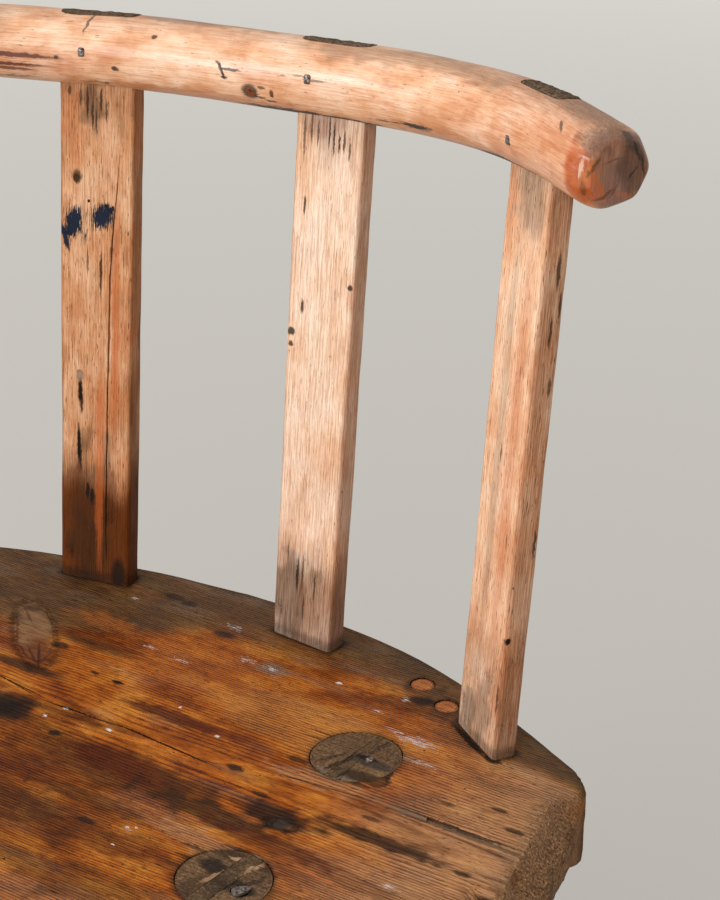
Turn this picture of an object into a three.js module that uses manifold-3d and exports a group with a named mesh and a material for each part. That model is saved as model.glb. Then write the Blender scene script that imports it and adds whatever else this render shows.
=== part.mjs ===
import * as THREE from 'three';
import { ConvexGeometry } from 'three/addons/geometries/ConvexGeometry.js';
import { mergeVertices } from 'three/addons/utils/BufferGeometryUtils.js';
import Module from 'manifold-3d';

// A rustic chair: a half-moon plank seat on four splayed legs, and a bent branch rail on four flat
// slats. Sizes are in millimetres. While the chair is built, X runs along the grain of the seat, Y
// towards the back and Z up, from the top of the seat at the middle of its back edge.

// Seat plank
const SEAT_HEIGHT = 405;
const SEAT_THICKNESS = 44;
const SEAT_DEPTH = 328;
const SEAT_BACK_WIDTH = 524;
const SEAT_FRONT_WIDTH = 612;
const BACK_ARC_DEPTH = 76;
const FRONT_CORNER = 26;
const SEAT_ARRIS = 3;
const END_WEAR_WIDTH = 12;
const END_WEAR_DEPTH = 13;

// Legs, with round tenons that come up through the seat: each is placed by its distance from the
// end of the seat's back or front edge, and by its distance in from that edge
const TENON_DIAMETER = 45;
const LEG_DIAMETER_TOP = 52;
const LEG_DIAMETER_MIDDLE = 50;
const LEG_DIAMETER_FOOT = 37;
const LEG_SHOULDER = 2;
const LEG_FACETS = 10;
const REAR_TENON_END = 112;
const FRONT_TENON_END = 153.5;
const REAR_TENON_INSET = 118;
const FRONT_TENON_INSET = 89;
const SIDE_SPLAY_DEG = 10;
const REAR_SPLAY_DEG = 15;
const FRONT_SPLAY_DEG = 9;

// Wedges that spread the tenons
const WEDGE_DEPTH = 28;
const WEDGE_TIP = 1.6;

// Back: slats through the seat and through the rail
const RAIL_HEIGHT = 311;
const RAIL_DIAMETER = 40;
const RAIL_SETBACK = 7;
const RAIL_FACETS = 7;
const RAIL_FACET_LENGTH = 11;
const RAIL_FACET_DEPTH = 6;
const SLAT_THICKNESS = 13.5;
const SLAT_ARRIS = 2.2;

// Nails through the rail, and plugs in two old peg holes
const RAIL_NAIL_LENGTH = 34;
const RAIL_NAIL_HEAD = 2.4;
const RAIL_NAIL_SHANK = 1.3;
const NAIL_PROUD = 0.4;
const PLUG_DIAMETER = 13;
const PLUG_LENGTH = 30;

// Room that every fitted piece keeps to its neighbour
const GAP = 0.3;

// Sides of the round pieces
const TENON_SIDES = 32;
const PLUG_SIDES = 20;
const NAIL_SIDES = 12;

// Back edge of the seat from the right corner to the left one, hand sawn and not quite even: each
// point is a share of the half width and a share of the arc's depth.
const BACK_EDGE = [
  [1, 1.07], [0.962, 0.92], [0.895, 0.79], [0.783, 0.58], [0.602, 0.31], [0.436, 0.13], [0.259, 0.04],
  [0.086, 0], [-0.096, 0.045], [-0.266, 0.138], [-0.505, 0.325], [-0.69, 0.57], [-0.87, 0.92], [-1, 1.26],
];

// Middle of the rail from its left end to its right one: the same two shares, and a lift in mm.
const RAIL_ROUTE = [
  [-0.954, 1.3, 2], [-0.825, 0.9, 1], [-0.633, 0.512, 0], [-0.416, 0.266, 0], [-0.192, 0.105, 0],
  [0.076, 0.029, 0], [0.364, 0, 0], [0.61, 0.217, 1], [0.771, 0.542, 2], [0.959, 1.07, 2],
];

// Slats: shares of the half width at the seat and at the rail, the distance in from the back edge,
// the width, the turn in degrees at the seat and at the rail, and its nail's place along the rail
// and above the middle of the rail.
const SLATS = [
  { name: 'outer_left', base: -0.754, top: -0.752, inset: 25, width: 41, turns: [-33, -34], nail: [1, 2] },
  { name: 'inner_left', base: -0.313, top: -0.322, inset: 18, width: 45, turns: [-10, -15], nail: [-3, 2] },
  { name: 'inner_right', base: 0.239, top: 0.222, inset: 24, width: 41, turns: [6, -3.5], nail: [-8, 3] },
  { name: 'outer_right', base: 0.754, top: 0.747, inset: 26, width: 41, turns: [35, 34], nail: [-2, -3] },
];

// Legs: the side, the end of the seat, and the wedge's thickness at its front and its back with its
// turn in degrees.
const LEGS = [
  { name: 'rear_left', side: -1, rear: true, wedge: [7, 4], turn: 4 },
  { name: 'rear_right', side: 1, rear: true, wedge: [8, 2.5], turn: -1 },
  { name: 'front_left', side: -1, rear: false, wedge: [8, 6], turn: 3 },
  { name: 'front_right', side: 1, rear: false, wedge: [9, 8], turn: -8 },
];

// Nails driven down into two tenons, each placed from the middle of its tenon.
const TENON_NAILS = [
  { leg: 'rear_right', x: 7.2, y: 1, head: 2.2, shank: 1.2, length: 26 },
  { leg: 'front_right', x: 10.5, y: -2, head: 4.6, shank: 2.2, length: 30 },
];

// Plugs in the seat, each placed from the middle of a slat's foot.
const PLUGS = [
  { slat: 'outer_right', x: -54.5, y: 29.5 },
  { slat: 'outer_right', x: -32.5, y: 16.5 },
];

const FINISHES = {
  pine: { color: 0xa5673a, roughness: 0.62, metalness: 0 },
  birch: { color: 0xd9a47a, roughness: 0.5, metalness: 0 },
  leg: { color: 0x9a6a44, roughness: 0.65, metalness: 0 },
  wedge: { color: 0x7a6a56, roughness: 0.8, metalness: 0 },
  iron: { color: 0x3a322d, roughness: 0.7, metalness: 0.8 },
};

const wasm = await Module();
wasm.setup();

const seatBackHalf = SEAT_BACK_WIDTH / 2;
const seatFrontHalf = SEAT_FRONT_WIDTH / 2;
const tenonRadius = TENON_DIAMETER / 2;
const railRadius = RAIL_DIAMETER / 2;
const degrees = THREE.MathUtils.degToRad;
const up = new THREE.Vector3(0, 0, 1);

const backEdge = new THREE.SplineCurve(
  BACK_EDGE.map(([across, drop]) => new THREE.Vector2(across * seatBackHalf, -drop * BACK_ARC_DEPTH)),
);

const railCurve = new THREE.CatmullRomCurve3(
  RAIL_ROUTE.map(([across, drop, lift]) => new THREE.Vector3(
    across * seatBackHalf,
    RAIL_SETBACK - drop * BACK_ARC_DEPTH,
    RAIL_HEIGHT + lift,
  )),
  false,
  'centripetal',
);

// Turns a closed geometry into a solid that can be cut and joined.
function solidOf(geometry) {
  const bare = geometry.clone();
  bare.deleteAttribute('normal');
  bare.deleteAttribute('uv');
  const merged = mergeVertices(bare, 1e-3);
  return new wasm.Manifold(new wasm.Mesh({
    numProp: 3,
    vertProperties: merged.attributes.position.array,
    triVerts: Uint32Array.from(merged.index.array),
  }));
}

// Turns a finished solid back into a geometry.
function geometryOf(solid) {
  const mesh = solid.getMesh();
  const geometry = new THREE.BufferGeometry();
  geometry.setAttribute('position', new THREE.BufferAttribute(mesh.vertProperties, 3));
  geometry.setIndex(new THREE.BufferAttribute(mesh.triVerts, 1));
  geometry.computeVertexNormals();
  return geometry;
}

function makeMesh(name, solid, finish) {
  const mesh = new THREE.Mesh(geometryOf(solid), new THREE.MeshStandardMaterial(finish));
  mesh.name = name;
  return mesh;
}

// A slab wider than the chair, between two heights.
function layer(low, high) {
  const reach = 2 * (SEAT_FRONT_WIDTH + SEAT_DEPTH);
  const slab = new THREE.BoxGeometry(reach, reach, high - low);
  return solidOf(slab.translate(0, 0, (low + high) / 2));
}

// Puts a geometry built along +Z at a place, pointing along a direction, turned about itself.
function aim(geometry, place, direction, turn = 0) {
  const matrix = new THREE.Matrix4().makeRotationZ(turn);
  const lean = new THREE.Quaternion().setFromUnitVectors(up, direction);
  matrix.premultiply(new THREE.Matrix4().makeRotationFromQuaternion(lean));
  matrix.setPosition(place);
  return geometry.applyMatrix4(matrix);
}

// A solid turned about +Z, from a profile of radius and height that starts and ends on the axis.
function turned(profile, sides) {
  const points = profile.map(([radius, height]) => new THREE.Vector2(radius, height));
  return new THREE.LatheGeometry(points, sides).rotateX(Math.PI / 2);
}

// A nail whose head is at the origin and whose shank runs down.
function nailGeometry(head, shank, length, room) {
  return turned([
    [0, -length - room],
    [shank / 2 + room, -length - room],
    [shank + room, -3 * shank],
    [shank + room, -shank - room],
    [head + room, -shank / 2 - room],
    [head + room, NAIL_PROUD + room],
    [0, NAIL_PROUD + room],
  ], NAIL_SIDES);
}

// Where a curve that runs steadily along X passes a given X, as a share of its length.
function shareAtX(curve, x) {
  const rising = curve.getPoint(1).x > curve.getPoint(0).x;
  let low = 0;
  let high = 1;
  for (let step = 0; step < 40; step += 1) {
    const middle = (low + high) / 2;
    if ((curve.getPoint(middle).x < x) === rising) {
      low = middle;
    } else {
      high = middle;
    }
  }
  return (low + high) / 2;
}

// Half the width of the seat at a distance in front of its back edge, on the slanting ends.
function seatEndAt(y) {
  const share = (-y - BACK_ARC_DEPTH) / (SEAT_DEPTH - BACK_ARC_DEPTH);
  return THREE.MathUtils.lerp(seatBackHalf, seatFrontHalf, share);
}

// What years of wear took off the upper (face 1) or lower (face -1) arris of one end of the seat.
function endWearSolid(side, face) {
  const size = 2 * SEAT_DEPTH;
  const along = new THREE.Vector3(
    side * (seatFrontHalf - seatBackHalf),
    BACK_ARC_DEPTH - SEAT_DEPTH,
    0,
  ).normalize();
  const outward = new THREE.Vector3(-side * along.y, side * along.x, 0);
  const facing = outward.clone().multiplyScalar(END_WEAR_DEPTH)
    .addScaledVector(up, face * END_WEAR_WIDTH).normalize();
  const surface = face === 1 ? 0 : -SEAT_THICKNESS;
  const place = new THREE.Vector3(side * seatBackHalf, -BACK_ARC_DEPTH, surface)
    .addScaledVector(outward, -END_WEAR_WIDTH)
    .addScaledVector(facing, size / 2);
  const waste = new THREE.BoxGeometry(size, size, size);
  const across = new THREE.Vector3().crossVectors(along, facing);
  const basis = new THREE.Matrix4().makeBasis(across, along, facing).setPosition(place);
  return solidOf(waste.applyMatrix4(basis));
}

function makeSeatBlank() {
  const front = -SEAT_DEPTH;
  const cornerEnd = front + FRONT_CORNER;
  const outline = new THREE.Shape();
  outline.moveTo(-seatFrontHalf + FRONT_CORNER, front);
  outline.lineTo(seatFrontHalf - FRONT_CORNER, front);
  outline.quadraticCurveTo(seatFrontHalf, front, seatEndAt(cornerEnd), cornerEnd);
  for (const point of backEdge.getPoints(3 * (BACK_EDGE.length - 1))) {
    outline.lineTo(point.x, point.y);
  }
  outline.lineTo(-seatEndAt(cornerEnd), cornerEnd);
  outline.quadraticCurveTo(-seatFrontHalf, front, -seatFrontHalf + FRONT_CORNER, front);
  const plank = new THREE.ExtrudeGeometry(outline, {
    depth: SEAT_THICKNESS - 2 * SEAT_ARRIS,
    bevelThickness: SEAT_ARRIS,
    bevelSize: SEAT_ARRIS,
    bevelOffset: -SEAT_ARRIS,
    bevelSegments: 2,
    curveSegments: 6,
  });
  let blank = solidOf(plank.translate(0, 0, SEAT_ARRIS - SEAT_THICKNESS));
  for (const side of [-1, 1]) {
    blank = blank.subtract(endWearSolid(side, 1)).subtract(endWearSolid(side, -1));
  }
  return blank;
}

// The middle of a tenon at the top of the seat, and the way its leg points up.
function legAxis(leg) {
  const x = leg.rear ? seatBackHalf - REAR_TENON_END : seatFrontHalf - FRONT_TENON_END;
  const y = leg.rear ? -REAR_TENON_INSET : -SEAT_DEPTH + FRONT_TENON_INSET;
  const back = leg.rear ? Math.tan(degrees(REAR_SPLAY_DEG)) : -Math.tan(degrees(FRONT_SPLAY_DEG));
  const out = leg.side * Math.tan(degrees(SIDE_SPLAY_DEG));
  return {
    top: new THREE.Vector3(leg.side * x, y, 0),
    direction: new THREE.Vector3(-out, -back, 1).normalize(),
  };
}

// The round tenon of a leg, or with room added the bore that it sits in.
function tenonSolid(leg, room) {
  const { top, direction } = legAxis(leg);
  const radius = tenonRadius + room;
  const length = 3 * SEAT_THICKNESS;
  const rod = new THREE.CylinderGeometry(radius, radius, length, TENON_SIDES).rotateX(Math.PI / 2);
  return solidOf(aim(rod, top, direction));
}

// The blade of a wedge, or with room added the kerf that it is driven into.
function wedgeSolid(leg, room) {
  const { top, direction } = legAxis(leg);
  const reach = tenonRadius + SEAT_ARRIS;
  const rise = tenonRadius / 2;
  const corners = [];
  for (const side of [-1, 1]) {
    for (const [end, thickness] of [[-reach, leg.wedge[0]], [reach, leg.wedge[1]]]) {
      const thickest = thickness + ((thickness - WEDGE_TIP) * rise) / WEDGE_DEPTH;
      corners.push(new THREE.Vector3(side * (thickest / 2 + room), end, rise));
      corners.push(new THREE.Vector3(side * (WEDGE_TIP / 2 + room), end, -WEDGE_DEPTH - room));
    }
  }
  return solidOf(aim(new ConvexGeometry(corners), top, direction, degrees(leg.turn)));
}

// A shaved leg: a faceted body below the seat and a round tenon through it, cut level at both ends.
function makeLeg(leg) {
  const { top, direction } = legAxis(leg);
  const length = SEAT_HEIGHT / direction.z;
  const foot = top.clone().addScaledVector(direction, -length);
  const spare = LEG_DIAMETER_TOP;
  const body = turned([
    [0, -spare],
    [LEG_DIAMETER_FOOT / 2, -spare],
    [LEG_DIAMETER_FOOT / 2, 0],
    [LEG_DIAMETER_MIDDLE / 2, length * 0.55],
    [LEG_DIAMETER_TOP / 2, length * 0.75],
    [tenonRadius + LEG_SHOULDER, length],
    [0, length],
  ], LEG_FACETS);
  const below = layer(-SEAT_HEIGHT, -SEAT_THICKNESS - GAP);
  const within = layer(-SEAT_THICKNESS - 2 * SEAT_ARRIS, 0);
  return solidOf(aim(body, foot, direction)).intersect(below)
    .add(tenonSolid(leg, 0).intersect(within));
}

// Where a slat passes the top of the seat and the middle of the rail.
function slatEnds(slat) {
  const edge = backEdge.getPoint(shareAtX(backEdge, slat.base * seatBackHalf));
  return [
    new THREE.Vector3(edge.x, edge.y - slat.inset, 0),
    railCurve.getPoint(shareAtX(railCurve, slat.top * seatBackHalf)),
  ];
}

// A slat with its arrises taken off, or with room added the mortise that it passes through.
function slatSolid(slat, room) {
  const [base, top] = slatEnds(slat);
  const halfWidth = slat.width / 2 + room;
  const halfThickness = SLAT_THICKNESS / 2 + room;
  const section = new THREE.Shape([
    [-halfWidth + SLAT_ARRIS, -halfThickness], [halfWidth - SLAT_ARRIS, -halfThickness],
    [halfWidth, -halfThickness + SLAT_ARRIS], [halfWidth, halfThickness - SLAT_ARRIS],
    [halfWidth - SLAT_ARRIS, halfThickness], [-halfWidth + SLAT_ARRIS, halfThickness],
    [-halfWidth, halfThickness - SLAT_ARRIS], [-halfWidth, -halfThickness + SLAT_ARRIS],
  ].map(([x, y]) => new THREE.Vector2(x, y)));
  const low = -SEAT_THICKNESS - SEAT_ARRIS;
  const high = top.z + RAIL_DIAMETER;
  const board = new THREE.ExtrudeGeometry(section, { depth: high - low, steps: 8, bevelEnabled: false });
  board.translate(0, 0, low);
  const positions = board.attributes.position;
  const point = new THREE.Vector3();
  for (let i = 0; i < positions.count; i += 1) {
    point.fromBufferAttribute(positions, i);
    const share = point.z / top.z;
    const turn = THREE.MathUtils.lerp(slat.turns[0], slat.turns[1], share);
    point.applyAxisAngle(up, -degrees(turn));
    point.x += THREE.MathUtils.lerp(base.x, top.x, share);
    point.y += THREE.MathUtils.lerp(base.y, top.y, share);
    positions.setXYZ(i, point.x, point.y, point.z);
  }
  return solidOf(board);
}

// The bent rail before its mortises: a round branch whose ends are cut to facets with a knife.
function makeRailBlank() {
  const section = new THREE.Shape().absarc(0, 0, railRadius, 0, 2 * Math.PI);
  const branch = new THREE.ExtrudeGeometry(section, {
    steps: 36,
    curveSegments: 12,
    bevelEnabled: false,
    extrudePath: railCurve,
  });
  let rail = solidOf(branch);
  for (const end of [0, 1]) {
    const outward = railCurve.getTangent(end).multiplyScalar(end === 0 ? -1 : 1);
    for (let facet = 0; facet < RAIL_FACETS; facet += 1) {
      const around = (2 * Math.PI * facet) / RAIL_FACETS;
      const side = new THREE.Vector3().crossVectors(outward, up).normalize();
      side.applyAxisAngle(outward, around);
      const facing = side.clone().multiplyScalar(RAIL_FACET_LENGTH)
        .addScaledVector(outward, RAIL_FACET_DEPTH).normalize();
      const place = railCurve.getPoint(end)
        .addScaledVector(side, railRadius - RAIL_FACET_DEPTH)
        .addScaledVector(facing, railRadius);
      const waste = new THREE.BoxGeometry(RAIL_DIAMETER * 2, RAIL_DIAMETER * 2, RAIL_DIAMETER);
      rail = rail.subtract(solidOf(aim(waste, place, facing)));
    }
  }
  return rail;
}

// A nail driven level through the front of the rail and into a slat.
function railNailSolid(slat, room) {
  const share = shareAtX(railCurve, slat.top * seatBackHalf);
  const along = railCurve.getTangent(share);
  const forward = new THREE.Vector3(along.y, -along.x, 0).normalize();
  const [shift, rise] = slat.nail;
  const place = railCurve.getPoint(share)
    .addScaledVector(along, shift)
    .addScaledVector(forward, Math.sqrt(railRadius ** 2 - rise ** 2))
    .addScaledVector(up, rise);
  const nail = nailGeometry(RAIL_NAIL_HEAD, RAIL_NAIL_SHANK, RAIL_NAIL_LENGTH, room);
  return solidOf(aim(nail, place, forward));
}

function tenonNailSolid(nail, room) {
  const { top, direction } = legAxis(LEGS.find((leg) => leg.name === nail.leg));
  const place = top.clone().add(new THREE.Vector3(nail.x, nail.y, 0));
  return solidOf(aim(nailGeometry(nail.head, nail.shank, nail.length, room), place, direction));
}

function plugSolid(plug, room) {
  const radius = PLUG_DIAMETER / 2 + room;
  const length = PLUG_LENGTH + 2 * room;
  const peg = new THREE.CylinderGeometry(radius, radius, length, PLUG_SIDES).rotateX(Math.PI / 2);
  const [foot] = slatEnds(SLATS.find((slat) => slat.name === plug.slat));
  return solidOf(peg.translate(foot.x + plug.x, foot.y + plug.y, -PLUG_LENGTH / 2));
}

const chair = new THREE.Group();

let seat = makeSeatBlank();
for (const leg of LEGS) {
  seat = seat.subtract(tenonSolid(leg, GAP));
  let legSolid = makeLeg(leg).subtract(wedgeSolid(leg, GAP));
  let wedge = wedgeSolid(leg, 0).intersect(tenonSolid(leg, 0)).intersect(layer(-SEAT_HEIGHT, 0));
  for (const nail of TENON_NAILS.filter((each) => each.leg === leg.name)) {
    legSolid = legSolid.subtract(tenonNailSolid(nail, GAP));
    wedge = wedge.subtract(tenonNailSolid(nail, GAP));
    chair.add(makeMesh(`tenon_nail_${leg.name}`, tenonNailSolid(nail, 0), FINISHES.iron));
  }
  chair.add(makeMesh(`leg_${leg.name}`, legSolid, FINISHES.leg));
  chair.add(makeMesh(`wedge_${leg.name}`, wedge, FINISHES.wedge));
}

let rail = makeRailBlank();
const railWhole = rail;
for (const slat of SLATS) {
  const mortise = slatSolid(slat, GAP);
  const nailHole = railNailSolid(slat, GAP);
  seat = seat.subtract(mortise);
  rail = rail.subtract(mortise).subtract(nailHole);
  const board = slatSolid(slat, 0);
  const slatPiece = board.intersect(layer(-SEAT_THICKNESS, RAIL_HEIGHT))
    .add(board.intersect(railWhole))
    .subtract(nailHole);
  chair.add(makeMesh(`slat_${slat.name}`, slatPiece, FINISHES.birch));
  chair.add(makeMesh(`rail_nail_${slat.name}`, railNailSolid(slat, 0), FINISHES.iron));
}
chair.add(makeMesh('crest_rail', rail, FINISHES.birch));

PLUGS.forEach((plug, index) => {
  seat = seat.subtract(plugSolid(plug, GAP));
  chair.add(makeMesh(`seat_plug_${index + 1}`, plugSolid(plug, 0), FINISHES.pine));
});
chair.add(makeMesh('seat_plank', seat, FINISHES.pine));

// The finished chair stands on the floor, with the middle of its outer box above the origin.
const box = new THREE.Box3().setFromObject(chair);
const middle = box.getCenter(new THREE.Vector3());
chair.position.set(-middle.x, -middle.y, -box.min.z);

export default chair;
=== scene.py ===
"""A rustic chair with a half-moon pine seat, four splayed legs, and a birch branch rail on four slats.

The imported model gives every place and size. Each class below builds one sub-assembly, in
millimetres, and dresses it. A mesh is written in metres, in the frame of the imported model.
"""

import logging
import math
from contextlib import contextmanager
from dataclasses import dataclass, replace
from enum import Enum
from functools import partial
from typing import Callable, Iterable, Iterator, Sequence

import bmesh
import bpy
import numpy as np
from mathutils import Matrix, Vector
from mathutils.bvhtree import BVHTree
from mathutils.kdtree import KDTree


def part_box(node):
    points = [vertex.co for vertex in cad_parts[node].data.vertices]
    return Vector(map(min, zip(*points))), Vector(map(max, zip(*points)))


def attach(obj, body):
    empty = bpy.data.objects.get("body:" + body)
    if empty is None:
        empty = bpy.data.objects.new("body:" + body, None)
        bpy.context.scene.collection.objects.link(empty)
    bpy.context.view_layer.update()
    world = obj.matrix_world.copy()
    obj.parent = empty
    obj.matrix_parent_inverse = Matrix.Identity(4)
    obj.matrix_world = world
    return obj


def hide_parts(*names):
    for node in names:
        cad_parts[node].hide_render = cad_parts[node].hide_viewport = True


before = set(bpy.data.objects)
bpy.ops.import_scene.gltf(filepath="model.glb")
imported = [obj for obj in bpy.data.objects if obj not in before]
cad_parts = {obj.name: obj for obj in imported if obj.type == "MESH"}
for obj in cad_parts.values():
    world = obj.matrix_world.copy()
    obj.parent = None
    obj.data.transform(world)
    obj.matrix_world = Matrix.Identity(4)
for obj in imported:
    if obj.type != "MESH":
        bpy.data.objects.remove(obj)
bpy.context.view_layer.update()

Array = np.ndarray
Field = Callable[[Array], Array]
MM = 0.001
X_AXIS = np.array((1.0, 0.0, 0.0))
Z_AXIS = np.array((0.0, 0.0, 1.0))
# The height of the seat's top, in mm
SEAT_TOP = 405.0
# How much wider a hole is on each side than what sits in it, in mm
SEAT_ROOM = 0.4
RAIL_ROOM = 0.35
SNUG_ROOM = 0.3
# Blots narrower than this, in mm, are drawn by the material. The others are laid on the mesh's points
FINE_WIDTH = 5.4
# The shading breaks at edges that are sharper than this
CREASE_DEGREES = 42
LOG = logging.getLogger("chair")


class Shade(Enum):
    """Colours of what has soaked into the wood, or lies on it, and of painted highlights and painted shade.
    """

    SOOT = "#1c140e"
    UMBER = "#3d2715"
    WINE = "#551f0b"
    OLIVE = "#57462f"
    SILVER = "#8b7a68"
    TAN = "#bd946e"
    GOLD = "#c98c4a"
    WEATHER = "#93704f"
    RUSSET = "#74401f"
    AMBER = "#b3672c"
    RUST = "#b95c26"
    MAUVE = "#8b6355"
    BARK = "#3b342e"
    PUTTY = "#75634f"
    LIMEWASH = "#c3c2c6"
    NAVY = "#1f2634"
    CREAM = "#f0dcc4"
    SIENNA = "#64340f"
    HONEY = "#e3b88c"


(SOOT, UMBER, WINE, OLIVE, SILVER, TAN, GOLD, WEATHER, RUSSET, AMBER, RUST, MAUVE, BARK, PUTTY,
 LIMEWASH, NAVY, CREAM, SIENNA, HONEY) = Shade


@dataclass(frozen=True)
class Blot:
    """A stain, a patch of paint, a dent or a painted highlight: an oval that follows the grain.

    at is its middle, size its reach along and across the grain, and dent how deep it goes. A crust
    lies on the surface; a stain has soaked in, and a painted highlight is laid in the same way. course
    is its own direction, if it has one.
    """

    at: tuple[float, float, float]
    size: tuple[float, float]
    shade: Shade | None = None
    strength: float = 1.0
    dent: float = 0.0
    crust: bool = False
    course: tuple[float, float, float] | None = None

    @property
    def fine(self) -> bool:
        """Whether it is too small or too sharp for the mesh's own points to hold."""
        return self.crust or min(self.size) < FINE_WIDTH

    def cover(self, points: Array, grain: Array) -> Array:
        """How much of the blot each point has.

        Args:
            points: places in mm.
            grain: the direction of the grain, one for all points or one for each.

        Returns:
            0 outside to 1 inside, with a soft uneven edge.
        """
        course = grain if self.course is None else np.array(self.course) / np.linalg.norm(self.course)
        away = points - np.array(self.at)
        along = (away * course).sum(axis=1)
        across = np.linalg.norm(away - along[:, None] * course, axis=1)
        reach = np.hypot(along / self.size[0], across / self.size[1])
        near = reach < 1.8
        edge = np.zeros(len(points))
        width = max(self.size[1] * 0.6, 1.0)
        edge[near] = 0.45 * noise(points[near], (width, width, width), 41)
        return smoothstep(1.15 - reach * (1 + edge), 0.0, 0.55)


def blots(*entries: Shade | tuple, crust: bool = False) -> list[Blot]:
    """Reads a list of blots, in which a shade stands before the rows that have it.

    Args:
        entries: shades and rows. A row is the blot's place, its reach along and across the grain
            and its strength, and then its dent and its course if it has them. Rows before any
            shade are dents alone.
        crust: whether they lie on the surface.

    Returns:
        The blots in the order of the rows.
    """
    made, shade = [], None
    for entry in entries:
        if isinstance(entry, Shade):
            shade = entry
            continue
        x, y, z, along, across, strength, *rest = entry
        dent, course = (*rest, *(0, None)[len(rest):])
        made.append(Blot((x, y, z), (along, across), shade, strength, dent, crust, course))
    return made


def on_seat(*entries: Shade | tuple, crust: bool = False) -> list[Blot]:
    """Blots on the seat's top, whose rows have no height."""
    rows = (entry if isinstance(entry, Shade) else (*entry[:2], SEAT_TOP, *entry[2:]) for entry in entries)
    return blots(*rows, crust=crust)


def noise(points: Array, size: Sequence[float], seed: int) -> Array:
    """Smooth noise from -1 to 1, the same in every run.

    Args:
        points: places in mm.
        size: how wide its lumps are along each axis, in mm.
        seed: picks one pattern of many.
    """
    grid = points / np.asarray(size, float) + 31.7 * seed
    cell = np.floor(grid)
    ease = grid - cell
    ease = ease * ease * (3 - 2 * ease)
    total = np.zeros(len(points))
    for corner in np.ndindex(2, 2, 2):
        wave = np.sin((cell + corner) @ (12.9898, 78.233, 37.719)) * 43758.5453
        total += np.prod(np.where(corner, ease, 1 - ease), axis=1) * (wave - np.floor(wave))
    return 2 * total - 1


def smoothstep(value: Array, low: float, high: float) -> Array:
    """Eases from 0 at low to 1 at high."""
    share = np.clip((value - low) / (high - low), 0, 1)
    return share * share * (3 - 2 * share)


def unit(vector: Array) -> Array:
    """The same direction, one long."""
    return vector / np.linalg.norm(vector)


def polar(points: Array) -> tuple[Array, Array]:
    """The turn of each point about Z, and how far it is from Z."""
    return np.arctan2(points[:, 1], points[:, 0]), np.hypot(points[:, 0], points[:, 1])


def ringed(angle: Array, radius: float | Array, along: Array) -> Array:
    """Places round the Z axis."""
    return np.column_stack((radius * np.cos(angle), radius * np.sin(angle), along))


def mileage(route: Array) -> Array:
    """How far along a route each of its places is."""
    return np.r_[0, np.cumsum(np.linalg.norm(np.diff(route, axis=0), axis=1))]


def look_up(spots: Array, marks: Array, table: Array) -> Array:
    """The rows of a table, which stand at its marks, at the spots between them."""
    return np.column_stack([np.interp(spots, marks, column) for column in table.T])


def nearest(points: Array, targets: Array) -> tuple[Array, Array]:
    """Which target is nearest to each point, and how far away it is.

    Args:
        points: where to look from.
        targets: the places to find.

    Returns:
        The targets' numbers and their distances, one for each point.
    """
    tree = KDTree(len(targets))
    for index, target in enumerate(targets):
        tree.insert(target, index)
    tree.balance()
    found = [tree.find(point)[1:] for point in points]
    return np.array([index for index, _ in found], int), np.array([away for _, away in found], float)


def measures(node: str) -> tuple[Array, Array]:
    """The low and the high corner of a CAD node, in mm."""
    low, high = (np.array(corner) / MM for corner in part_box(node))
    return low, high


@dataclass(frozen=True)
class Mark:
    """A small blot as the material draws it: its place and turn in the space of the grain."""

    place: tuple[float, ...]
    turn: tuple[float, ...]
    blot: Blot

    @classmethod
    def all_of(cls, blots: Iterable[Blot], local: Field,
               facing: Field = lambda place: Z_AXIS) -> "list[Mark]":
        """The marks of every small blot.

        Args:
            blots: the piece's blots.
            local: turns places in mm into the space of the grain.
            facing: which way the surface faces at a place in that space.
        """
        found = []
        for blot in blots:
            if blot.fine and blot.shade:
                at = np.array([blot.at])
                place = local(at)[0]
                course = X_AXIS
                if blot.course is not None:
                    course = local(at + unit(np.array(blot.course, float)))[0] - place
                normal = facing(place)
                course = unit(course - normal * (course @ normal))
                turn = Matrix((course, np.cross(normal, course), normal)).transposed().to_euler()
                found.append(cls(tuple(place * MM), tuple(turn), blot))
        return found


def linear(code: str) -> tuple[float, float, float, float]:
    """Turns an sRGB hex colour into the linear colour that a socket holds."""
    parts = [int(code[start:start + 2], 16) / 255 for start in (1, 3, 5)]
    return (*(part / 12.92 if part <= 0.04045 else ((part + 0.055) / 1.055) ** 2.4 for part in parts), 1.0)


def add_node(tree: bpy.types.NodeTree, kind: str, inputs: dict | None = None, output: str | int = 0,
             ramp: Sequence[tuple] = (), **settings) -> bpy.types.NodeSocket | None:
    """Adds a shader node, sets it and links it.

    Args:
        tree: the material's nodes.
        kind: the node's type, without its prefix.
        inputs: a number, colour or socket for each input, by its number, name or identifier.
        output: which output is handed back.
        ramp: the stops of a colour ramp, as position and colour.
        settings: the node's own properties.
    """
    node = tree.nodes.new("ShaderNode" + kind)
    for name, value in settings.items():
        setattr(node, name, value)
    if ramp:
        stops = node.color_ramp.elements
        stops[0].position, stops[0].color = ramp[0]
        stops[1].position, stops[1].color = ramp[-1]
        for position, colour in ramp[1:-1]:
            stops.new(position).color = colour
    for key, value in (inputs or {}).items():
        socket = node.inputs[key] if isinstance(key, int) else next(
            each for each in node.inputs if key in (each.identifier, each.name))
        if isinstance(value, bpy.types.NodeSocket):
            tree.links.new(value, socket)
        else:
            socket.default_value = value
    if isinstance(output, str):
        return next(each for each in node.outputs if output in (each.identifier, each.name))
    return node.outputs[output] if node.outputs else None


def new_material(name: str) -> tuple[bpy.types.Material, Callable]:
    """A material without nodes, and add_node for its tree."""
    material = bpy.data.materials.new(name)
    material.use_nodes = True
    material.node_tree.nodes.clear()
    return material, partial(add_node, material.node_tree)


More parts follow.
